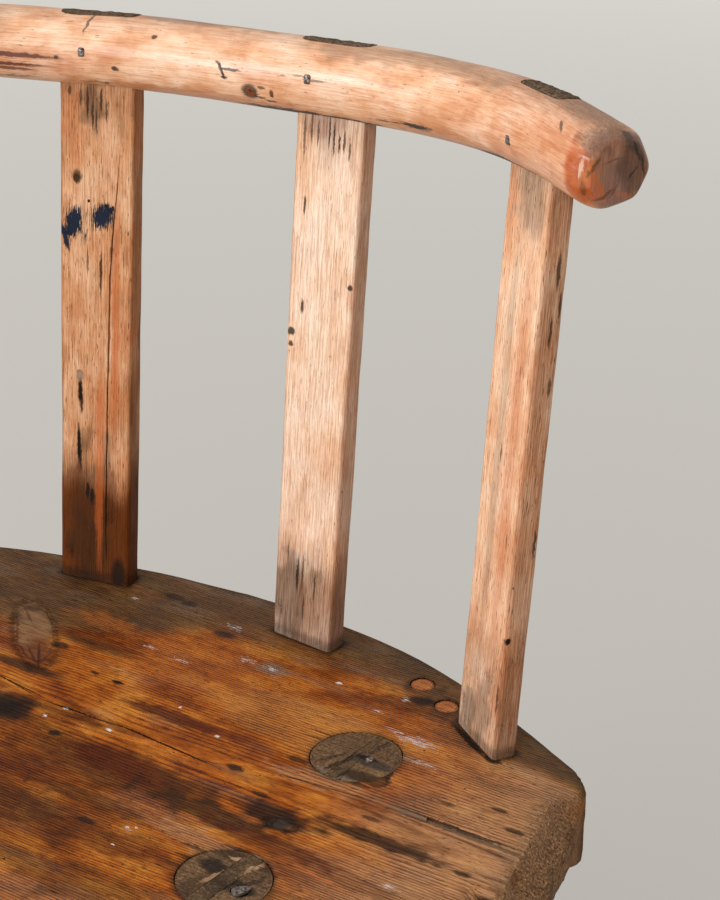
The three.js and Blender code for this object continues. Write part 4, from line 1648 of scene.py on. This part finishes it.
@dataclass
class Studio:
    """A pale floor, soft lamps and the camera."""

    lens: float = 80.0
    camera_place: tuple[float, float, float] = (593.2, -711.3, 961.2)
    turn_deg: float = 30.847
    tilt_deg: float = 24.001
    roll_deg: float = 1.001
    floor_colour: str = "#c9c6c0"
    seen_colour: str = "#8d8982"

    def build(self) -> None:
        """Sets the floor, the lamps, the world and the camera."""
        self.floor()
        self.lamp("window_left", (-1.25, -2.1, 1.22), (1.1, 0.7), 46)
        self.lamp("window_front", (0.9, -2.3, 1.9), (1.6, 1.4), 14)
        self.lamp("sky_top", (-0.4, 0.2, 2.8), (2.2, 2.2), 22)
        self.world()
        self.camera()
        bpy.context.scene.view_settings.view_transform = "Standard"

    def floor(self) -> None:
        """A wide pale plane, which the camera sees with a painted glow that grows further away."""
        bpy.ops.object.select_all(action="DESELECT")
        bpy.ops.mesh.primitive_plane_add(size=60)
        plane = bpy.context.object
        plane.name = "floor"
        material, add = new_material("Pale studio floor")
        seen = add("LightPath", output="Is Camera Ray")
        place = add("TexCoord", output="Object")
        # Painted light: a glow that only the camera sees, stronger further away, so the far floor looks
        # brighter
        away = add("VectorMath", {0: place}, operation="LENGTH", output="Value")
        glow = add("MapRange", {"Value": away, "From Min": 0.4, "From Max": 4.6, "To Min": 0.26,
                                "To Max": 0.56})
        glow = add("Math", {0: seen, 1: glow}, operation="MULTIPLY")
        colour = add("Mix", {"Factor_Float": seen, "A_Color": linear(self.floor_colour),
                             "B_Color": linear(self.seen_colour)}, output="Result_Color", data_type="RGBA")
        shader = add("BsdfPrincipled", {
            "Base Color": colour, "Roughness": 0.9, "Specular IOR Level": 0.1,
            "Emission Color": linear("#fbf9f4"), "Emission Strength": glow})
        add("OutputMaterial", {"Surface": shader})
        plane.data.materials.append(material)

    def lamp(self, name: str, place: tuple[float, float, float], size: tuple[float, float],
             power: float) -> None:
        """A soft lamp that faces the chair.

        Args:
            name: the lamp's name.
            place: where it hangs, in metres.
            size: how wide and high it is, in metres.
            power: its power in watts.
        """
        data = bpy.data.lights.new(name, "AREA")
        data.shape = "RECTANGLE"
        data.size, data.size_y = size
        data.energy = power
        lamp = bpy.data.objects.new(name, data)
        lamp.location = place
        aim = Vector((0, 0, 0.5)) - Vector(place)
        lamp.rotation_euler = aim.to_track_quat("-Z", "Y").to_euler()
        bpy.context.scene.collection.objects.link(lamp)

    def world(self) -> None:
        """An even pale sky, a little brighter to the camera."""
        world = bpy.data.worlds.new("studio")
        bpy.context.scene.world = world
        world.use_nodes = True
        tree = world.node_tree
        tree.nodes.clear()
        seen = add_node(tree, "LightPath", output="Is Camera Ray")
        strength = add_node(tree, "MapRange", {"Value": seen, "To Min": 0.62, "To Max": 0.85})
        light = add_node(tree, "Background", {"Color": linear("#f4f2ef"), "Strength": strength})
        add_node(tree, "OutputWorld", {"Surface": light})

    def camera(self) -> None:
        """Stands where the photograph was taken from."""
        turn, tilt, roll = (math.radians(angle) for angle in (self.turn_deg, self.tilt_deg, self.roll_deg))
        forward = Vector((-math.sin(turn) * math.cos(tilt), math.cos(turn) * math.cos(tilt),
                          -math.sin(tilt)))
        level = Vector((math.cos(turn), math.sin(turn), 0))
        upright = level.cross(forward)
        right = math.cos(roll) * level + math.sin(roll) * upright
        upward = math.cos(roll) * upright - math.sin(roll) * level
        data = bpy.data.cameras.new("camera")
        data.lens = self.lens
        data.clip_end = 50
        camera = bpy.data.objects.new("camera", data)
        pose = Matrix((right, upward, -forward)).transposed().to_4x4()
        pose.translation = Vector(self.camera_place) * MM
        camera.matrix_world = pose
        bpy.context.scene.collection.objects.link(camera)
        bpy.context.scene.camera = camera


RAIL_BLOTS = (
    *blots(
        # Grey where the top is weathered
        WEATHER, (-30, 155, 735, 60, 8, 0.4), (110, 150, 735, 70, 9, 0.5),
        (225, 100, 737, 34, 10, 0.6), WINE, (-38, 150, 736, 26, 4.8, 0.4),
        # Red heartwood streaks at the left
        WINE, (-126, 111, 713.5, 34, 1.5, 0.9), (-135, 110, 708, 36, 1.3, 0.9),
        (-132, 112, 705, 22, 1.3, 0.8), RUST, (-120, 114, 711, 50, 8, 0.35),
        # A check, a knot with its dark ring, and small marks round it
        SOOT, (0.5, 134, 717, 4, 0.9, 0.95, 0.6, (0.5, 0, -1)), (6, 134.4, 718.4, 6, 0.7, 0.9, 0.4),
        (-1.4, 134, 720.6, 2.2, 0.7, 0.9, 0.4, (1, 0, -0.8)), (2, 134, 714, 2, 0.8, 0.8, 0.4),
        (16.6, 136.5, 707.7, 4.7, 4.7, 1, 0.4), RUSSET, (16.6, 136.5, 707.7, 3.3, 3.3, 1, -0.5),
        UMBER, (17, 136.5, 708.5, 1.2, 1, 0.9, 0.3), (24, 136.2, 711, 2, 1, 0.8, 0.3),
        (23, 138, 705, 2.2, 0.9, 0.8, 0.3), (29.9, 137.1, 708.5, 1.2, 2.4, 0.9, 0.4, (1, 0, 0)),
        (28, 139, 703.5, 3.5, 0.9, 0.8, 0.3), RUST, (18, 134, 718, 14, 7, 0.28),
        # Scratches and pits
        UMBER, (-84, 132, 733, 9, 0.9, 0.8, 0.3, (0, 1, 0.6)), (-43, 134.9, 729, 1.6, 1.2, 0.9, 0.4),
        SOOT, (-64, 127, 710.7, 2.2, 1.4, 0.9, 0.5), (-97.6, 119.3, 714, 1.4, 1.2, 0.8, 0.4),
        UMBER, (219.5, 84, 732, 5, 0.9, 0.8, 0.3, (1, -1, -1)), (47, 138, 720, 6, 0.6, 0.7, 0.2),
        (56, 137.5, 718.8, 7, 0.6, 0.7, 0.2)),
    *blots(
        # Bark left along the underside
        BARK, (35, 146, 698.5, 26, 3, 0.95, -0.5), (68, 148, 697.6, 22, 2.6, 0.95, -0.5),
        (98, 141, 703, 16, 1.5, 0.8, -0.4), (116, 137, 703.5, 10, 2, 0.9, -0.4),
        (172, 122, 700, 20, 3.2, 1, -0.7), (193, 111, 698.5, 20, 3.2, 1, -0.7),
        (-75, 130, 699, 18, 2, 0.8, -0.4), (-130, 118, 700, 22, 2, 0.8, -0.4),
        (-190, 90, 700, 24, 3, 0.8, -0.5), (20, 175, 712, 34, 3, 0.8, -0.4),
        (-160, 128, 725, 30, 3, 0.8, -0.4), crust=True),
    *blots(
        # Amber along the underside
        AMBER, (150, 130, 700, 80, 9, 0.45), (-20, 140, 699, 90, 7, 0.5),
        # The carved right end
        RUST, (238, 66, 715, 17, 11, 0.95, 0, (0, 0, 1)),
        MAUVE, (252, 76, 712, 15, 9, 0.6, 0, (0, 0, 1)),
        UMBER, (256, 82, 722, 16, 9, 0.6, 0, (0, 0, 1)), (243, 72, 731, 9, 8, 0.45),
        WEATHER, (-150, 122, 722, 70, 15, 0.4), UMBER, (-118, 128, 713, 40, 4, 0.25),
        # A painted highlight: a pale crescent along the left border of the end's facet
        CREAM, (238.4, 65.5, 719, 5, 0.8, 0.45, 0, (0.2, 0, 1)),
        AMBER, (242, 65, 717.5, 8, 1.2, 0.9, 0, (0.3, 0.3, 1)),
        SIENNA, (244, 67, 721.8, 6, 0.9, 0.8, 0, (0.5, 0.5, 1)),
        (241, 66, 709, 6, 1.1, 0.7, 0, (-0.4, 0, 1)),
        RUST, (245.7, 69, 712.6, 8, 1.3, 0.85, 0, (-0.4, -0.4, 1)),
        SIENNA, (248, 71.8, 707.8, 6, 1, 0.8, 0, (0.8, 0.9, 1)),
        UMBER, (249.8, 74, 723.4, 5, 0.6, 0.5, 0.2, (1, 1.2, 0.4)),
        (250, 75, 709, 4, 0.7, 0.5, 0.2, (0.5, 0.6, 1)),
        RUST, (254.3, 79.4, 706.9, 6, 1.4, 0.35, 0, (1, 1.2, -0.5)),
        SOOT, (256.5, 82, 717, 4, 0.6, 0.8, 0.3, (0.6, 0.7, 1)),
        UMBER, (251.7, 82.7, 733, 4.2, 2.6, 0.85, 0.4),
        SOOT, (256, 84, 726, 5, 0.9, 0.85, 0.4, (0.3, 0.3, -1)),
        (259, 86, 720, 6, 0.8, 0.8, 0.4, (0.1, 0.2, -1)),
        # The left end, with the same wear
        MAUVE, (-252, 60, 715, 16, 12, 0.7, 0, (0, 0, 1))),
)
# Every stain, patch of paint, dent and chip of the seat
SEAT_BLOTS = (
    *on_seat(
        # Warm and dark clouds in the wax
        AMBER, (60, 60, 90, 26, 0.35), GOLD, (115, 42, 70, 24, 0.45),
        SIENNA, (0, -90, 110, 46, 0.5), (45, -43, 56, 17, 0.8), (10, -34, 40, 10, 0.6),
        (-60, -70, 60, 30, 0.4), AMBER, (-43, 76, 24, 7, 0.6), (10, 45, 40, 8, 0.3),
        WINE, (-34, 55, 34, 7, 0.6), SOOT, (-30, 50, 26, 5, 0.55), WINE, (49, 13, 40, 5.5, 0.85),
        (75, 14, 22, 3.5, 0.6), (63, -38, 46, 12, 0.75), UMBER, (95, -36, 24, 8, 0.6),
        (115, -48, 46, 8, 0.85), SOOT, (145, -34, 28, 8, 0.85), (196, -24, 42, 5.5, 0.85, 0.5),
        BARK, (150, -38, 8, 6.5, 0.95, 0.3), WINE, (156, -54, 38, 7, 0.7), (205, -60, 30, 6, 0.4),
        TAN, (146, 4, 34, 8, 0.45), (120, -70, 34, 8, 0.45), WINE, (79, -94, 50, 10, 0.55),
        UMBER, (20, -95, 60, 14, 0.5), SOOT, (-30, -27, 20, 13, 0.92), (-34, -26, 15, 9, 0.9),
        (-50, 12, 30, 4.5, 0.8), UMBER, (-55, -20, 22, 6, 0.8), (0, -16, 30, 6, 0.45),
        WINE, (-10, -60, 60, 10, 0.45), UMBER, (60, -70, 40, 6, 0.5), (108, -128, 60, 14, 0.5),
        (190, -88, 40, 8, 0.4), WINE, (178, -1, 14, 4, 0.5), UMBER, (150, 88, 30, 6, 0.5),
        # The filled check, the long crack and the gap at the outer slat's foot
        PUTTY, (224, 2.8, 44, 1.8, 0.75), SOOT, (222, 4.9, 42, 0.5, 0.8, 0.4),
        (226, 0.4, 40, 0.4, 0.7, 0.3), (-40, -5.5, 24, 0.6, 0.9, 0.4, (1, -0.15, 0)),
        (8, -10, 22, 0.6, 0.9, 0.4), (62, -11, 34, 0.7, 0.9, 0.4, (1, -0.08, 0)),
        (150, 0, 26, 0.5, 0.7, 0.3, (1, 0.08, 0)), (191, 76.5, 17, 1.7, 1, 1, (26, -17.5, 0)),
        (210, 67, 5, 2.6, 0.9, 1.2, (26, -6, 0)),
        RUST, (190, -64.5, 19, 0.6, 0.8, 0, (37, -7, 0)),
        # The spike knot: its dark rim and its red heart
        UMBER, (-69, 43, 43, 15, 0.45, 0, (-60, 57, 0)),
        WEATHER, (-72, 46, 36, 11, 0.75, 0.3, (-60, 57, 0)),
        RUSSET, (-53, 26, 20, 10, 0.9, 0, (-60, 57, 0)),
        SOOT, (-50, 24, 15, 0.8, 0.7, 0.3, (-50, 62, 0)),
        UMBER, (-55, 24, 12, 0.7, 0.8, 0.3, (-66, 50, 0)),
        (-86, 58, 12, 0.8, 0.6, 0.2, (-66, 50, 0)), (-88, 66, 5, 4, 0.7, 0.2),
        # Round the plugs
        UMBER, (142.5, 113, 9.5, 9.5, 0.75), (165.5, 100, 9.5, 9.5, 0.75),
        SOOT, (151, 97, 9, 5.5, 0.9)),
    *on_seat(
        LIMEWASH, (143.5, 94, 4, 3, 0.65),
        # Scuffs of old limewash, left on the ridges
        LIMEWASH, (170, 61, 20, 6, 0.62), (156, 63, 14, 4, 0.5), (180, 44, 18, 4, 0.45),
        (18, 63.5, 10, 4.5, 0.5), (-3, 66, 8, 3.5, 0.42), (48, 83.5, 7, 4, 0.62), crust=True),
    *on_seat(
        SILVER, (66, 82, 11, 6, 0.7)),
    *on_seat(
        LIMEWASH, (66, 82, 10, 5, 0.36), (22, 110, 13, 5, 0.4), (-46, 107, 8, 3, 0.38),
        (219, -53, 8, 3, 0.6), (92, -82, 6, 4, 0.4), (136, 76, 10, 3, 0.4),
        (-200, -60, 16, 5, 0.5), crust=True),
    *on_seat(
        # Black dashes and pits
        SOOT, (3.8, 25, 4, 1.6, 1, 0.4), (-13, 26.5, 3, 1.2, 0.9, 0.3),
        (21.5, 100, 7, 3.5, 0.75, 0.3), (-16.5, 119, 5, 3, 0.7, 0.3), (-29, 121, 8, 3.5, 0.7),
        (-48, 40, 6, 3.5, 0.85, 0.3), (7, -32, 4, 2.5, 0.9, 0.4), (104, -9, 5, 2.5, 0.9, 0.5),
        (234, 29, 5, 1.5, 0.8, 0.4), (248, 17, 6, 2, 0.8, 0.4), (243, -26, 5, 2, 0.8, 0.4),
        (185, -11, 6, 1.6, 0.7, 0.3), (128, -22, 5, 1.8, 0.8, 0.3), (70, -86, 6, 2, 0.8, 0.3),
        (126, 14, 6, 2, 0.7, 0.3), (210, 20, 5, 1.6, 0.6, 0.3),
        # Chips at the tenons' rims
        UMBER, (171, 19, 6, 5, 0.8, 2.4), SOOT, (165, 11, 6, 1.6, 0.7, 0.8),
        (173, 27, 6, 1.4, 0.8, 0.8, (0.3, -1, 0)), (124, 42, 7, 0.8, 0.7, 0.4),
        (122, 36, 6, 0.7, 0.7, 0.4), (126, -76, 7, 1, 0.7, 0.5), (128, -84, 6, 1, 0.7, 0.5),
        (144, -66, 7, 1.2, 0.7, 0.5), UMBER, (127, -92, 6, 1.4, 0.7, 0.5)),
    *on_seat(
        # Specks of white paint
        LIMEWASH, (-3, -11, 1.3, 0.9, 1), (-8, -22, 1.2, 0.9, 1), (29, -15, 2, 0.9, 1),
        (47, 22.5, 1.3, 0.8, 1), (79.5, 10, 1.3, 0.9, 1), (104, 90, 2.2, 1.1, 1),
        (93, -95, 0.9, 0.6, 1), (90, -80, 1.2, 0.7, 1), (94, -78, 0.9, 0.6, 1),
        (147, 116, 1.4, 1, 1), crust=True),
)
# The two left slats are the browner ones
SLAT_LOOKS = {
    "outer_left": SlatLook(("#d8a27c", "#e6ba94", "#efcfae"), 0.645, 0.5, (430, 0.6), (
        *blots(
            RUST, (-190, 86, 520, 90, 8, 0.35), UMBER, (-200, 90, 600, 20, 3, 0.6, 0.3),
            OLIVE, (-185, 80, 430, 30, 16, 0.5)),
    )),
    "inner_left": SlatLook(("#c4875b", "#d29e74", "#e0b692"), 0.64, 0.95, (486, 1.0), (
        *blots(
            UMBER, (-93.7, 127.9, 645.5, 2.6, 2.2, 1, 0.4), (-93.7, 127.9, 646.5, 4, 2.8, 0.8),
            SOOT, (-86.6, 128.7, 633.3, 1, 1, 1, 0.4)),
        *blots(
            # Two dabs of blue paint and their smear
            NAVY, (-95.5, 126, 620.5, 8.5, 5.2, 1, -0.12, (0.2, 0, 1)),
            (-79, 129.8, 625, 7, 6.6, 1, -0.12, (0.3, 0, 1)), (-75.6, 131, 629.5, 3.4, 3.8, 1, -0.12),
            (-97.5, 125, 616, 4, 4.4, 1, -0.12), (-84, 128.4, 620, 5, 2.6, 0.78, -0.1),
            (-101, 124, 612, 8, 1.8, 1, -0.1, (0.3, 0, -1)), (-98, 124.8, 612, 6, 4, 0.72, -0.1),
            (-88.5, 127, 614, 8, 4.5, 0.66), crust=True),
        *blots(
            # Gouges, flecks and scorched spots
            SOOT, (-91, 119.3, 521, 8, 1.3, 1, 0.8), (-90, 119, 514, 6, 0.8, 0.9, 0.5),
            (-91.6, 116.5, 488, 13, 1, 1, 0.8), (-90.4, 116, 480, 8, 0.7, 0.9, 0.5),
            SILVER, (-91.3, 121, 531, 3, 2.2, 0.9, 0.5), SOOT, (-85.6, 115.9, 461, 5, 1.3, 0.95, 0.4),
            (-83, 116.2, 458, 5, 1.2, 0.95, 0.4), UMBER, (-79, 127, 592, 13, 0.7, 0.95, 0.4),
            (-87, 126, 600, 8, 0.6, 0.7, 0.2), SOOT, (-65.5, 115.6, 411, 11, 4.5, 0.85),
            UMBER, (-86, 133, 688, 15, 7, 0.55), SOOT, (-88, 133.2, 688, 9, 0.7, 0.8, 0.2),
            (-85, 133.2, 682, 8, 0.7, 0.8, 0.2), (-83, 133.6, 678, 7, 0.6, 0.8, 0.2),
            (-80, 134.5, 690, 7, 0.7, 0.8, 0.2), (-77, 134.5, 684, 6, 0.6, 0.7, 0.2),
            (-92, 132, 691, 6, 0.8, 0.7, 0.2), (-98, 130, 694, 3, 1.2, 0.7, 0.2),
            UMBER, (-84, 114, 440, 60, 14, 0.5), (-84, 113, 424, 30, 18, 0.4),
            RUST, (-78, 117, 480, 70, 3, 0.5), (-69, 124, 560, 80, 2.4, 0.6)),
    )),
    "inner_right": SlatLook(SLAT_BIRCH.tones, 0.68, 0.3, (470, 0.6), (
        *blots(
            UMBER, (48.6, 137.5, 596, 4, 1, 0.9, 0.3), (46.6, 143.1, 650, 5, 0.8, 0.9, 0.3),
            SOOT, (42.4, 136.2, 581, 2, 2.6, 0.9, 0.5), UMBER, (42.9, 135.5, 574, 1.5, 1.5, 0.9, 0.3),
            SOOT, (77.3, 139.4, 611, 1.6, 1.6, 0.9, 0.4), (58.6, 147.6, 690, 8, 0.5, 0.9, 0.3),
            (61.5, 147.6, 687, 9, 0.5, 0.9, 0.3), (64.5, 147.6, 685, 5, 0.5, 0.9, 0.3),
            (67.5, 147.6, 686, 6, 0.7, 0.8, 0.3), UMBER, (71, 147.6, 682, 5, 0.6, 0.8, 0.2),
            (44, 146.7, 688, 12, 0.8, 0.7, 0.2), (48, 146.9, 692, 9, 0.6, 0.7, 0.2),
            (52, 147, 689, 7, 0.5, 0.7, 0.2), MAUVE, (55, 148, 693, 9, 13, 0.5)),
        *blots(
            LIMEWASH, (56.4, 122.3, 452, 4, 1.3, 0.8), crust=True),
        *blots(
            SOOT, (56.6, 121, 444, 10, 1, 0.9, 0.4), OLIVE, (52, 119, 428, 26, 12, 0.5),
            WEATHER, (66, 121, 432, 22, 8, 0.5), SOOT, (60, 119, 446, 12, 0.7, 0.7, 0.3),
            UMBER, (69, 120, 440, 9, 0.6, 0.8, 0.3), SOOT, (62, 118, 426, 8, 0.6, 0.7, 0.3),
            UMBER, (49, 119, 456, 8, 0.6, 0.8, 0.3), CREAM, (62, 136, 560, 90, 6, 0.35)),
    )),
    "outer_right": SlatLook(("#e2ac85", "#edc3a0", "#f4d5b8"), 0.64, 0.32, (480, 0.3), (
        *blots(
            SOOT, (211, 75.6, 470, 2, 1.6, 1, 0.6), SILVER, (186, 85, 419, 10, 8, 0.75),
            (196, 76, 424, 18, 9, 0.6), (190, 100, 560, 120, 4, 0.35), (196, 110, 690, 26, 12, 0.5),
            RUST, (200, 92, 560, 110, 5, 0.3), SOOT, (214, 103, 657, 9, 1, 0.8, 0.4),
            (216, 103, 640, 6, 0.8, 0.8, 0.4), (213, 99, 627, 8, 0.8, 0.8, 0.4),
            (216, 97, 600, 5, 1, 0.7, 0.3), (216, 89, 520, 8, 0.8, 0.8, 0.4),
            UMBER, (213, 86, 500, 6, 0.8, 0.8, 0.3), SOOT, (209, 72, 438, 9, 0.8, 0.7, 0.3),
            UMBER, (190, 95, 560, 5, 0.7, 0.8, 0.3), (196, 88, 575, 6, 0.6, 0.8, 0.3),
            (201, 82, 520, 5, 0.6, 0.8, 0.3), (206, 79, 535, 7, 0.7, 0.8, 0.3)),
    )),
}
DRYING_CRACK = Crack(
    ((-69, 135.5, 664), (-70.4, 133.4, 641), (-72.3, 131, 618), (-73.6, 128.4, 590), (-73.8, 126, 560),
     (-73.9, 123.6, 531), (-74.1, 121.2, 500), (-74.1, 117.8, 457), (-73.4, 114.8, 419)), 1.0, 5.5)
TENON_BLOTS = {
    "rear_right": (
        *on_seat(
            BARK, (160, 31, 5, 3.5, 0.8, 0.3), SOOT, (155, 34, 2.6, 2, 1, 0.8),
            (146, 24, 14, 0.7, 0.7, 0.4, (0.35, 1, 0)), (140, 26, 9, 0.6, 0.6, 0.4, (0.6, 1, 0)),
            (156, 46, 10, 0.6, 0.6, 0.4, (0.2, 1, 0)), SILVER, (150, 12, 16, 3, 0.5),
            UMBER, (166, 18, 7, 4, 0.9, 1.8)),
    ),
    "front_right": (
        *on_seat(
            SOOT, (143, -82, 7, 6, 0.85, 0.2), UMBER, (152, -71, 8, 3.6, 0.8, 0.8),
            TAN, (154, -72, 2.6, 2.2, 0.8, -0.4), (149, -73, 2, 1.4, 0.8, -0.4),
            SOOT, (160, -90, 9, 7, 0.8, 0.5), UMBER, (146, -98, 14, 3, 0.6, 0.5, (0.4, 1, 0)),
            TAN, (157, -78, 9, 0.9, 0.9, -0.3, (0.4, 1, 0)), (148, -88, 9, 0.8, 0.7, -0.3, (0.4, 1, 0)),
            SOOT, (165, -84, 9, 0.7, 0.6, 0.4, (0.4, 1, 0))),
    ),
}


def main() -> None:
    """Builds the chair piece by piece, then the studio."""
    logging.basicConfig(level=logging.INFO, format="%(message)s")
    line = RailLine()
    slats = [
        Slat(name, line, look, (DRYING_CRACK,) if name == "inner_left" else ())
        for name, look in SLAT_LOOKS.items()]
    legs = [
        Leg("rear_left", (7, 4), 4),
        Leg("rear_right", (8, 2.5), -1, (7.2, 1, 2.2, 1.2, 26), TENON_BLOTS["rear_right"]),
        Leg("front_left", (8, 6), 3),
        Leg("front_right", (9, 8), -8, (10.5, -2, 4.6, 2.2, 30), TENON_BLOTS["front_right"]),
    ]
    plugs = [Plug(1), Plug(2)]
    nails = [RailNail(slat.name, line) for slat in slats]
    coarse = ((12,), (6,), (10,))

    seat = SeatPlank()
    tools = [leg.tenon("bore_tool", SEAT_ROOM) for leg in legs]
    tools += [slat.board("mortise_tool", SEAT_ROOM, coarse) for slat in slats]
    tools += [plug.body("plug_tool", SEAT_ROOM) for plug in plugs]
    plank = seat.build(tools)
    seat.dress(plank, [piece.outside for piece in (*slats, *legs)])

    rail = CrestRail(line)
    branch = rail.build("crest_rail_wood")
    branch.cut([slat.board("mortise_tool", RAIL_ROOM, coarse) for slat in slats])
    branch.cut([nail.body("nail_tool", SNUG_ROOM) for nail in nails])
    rail.dress(branch)

    for slat, nail in zip(slats, nails):
        board = slat.build()
        board.cut([nail.body("nail_tool", SNUG_ROOM)])
        slat.dress(board)
        nail.build()
    for leg in legs:
        leg.build()
    for plug in plugs:
        plug.build()
    Studio().build()


if __name__ == "__main__":
    main()
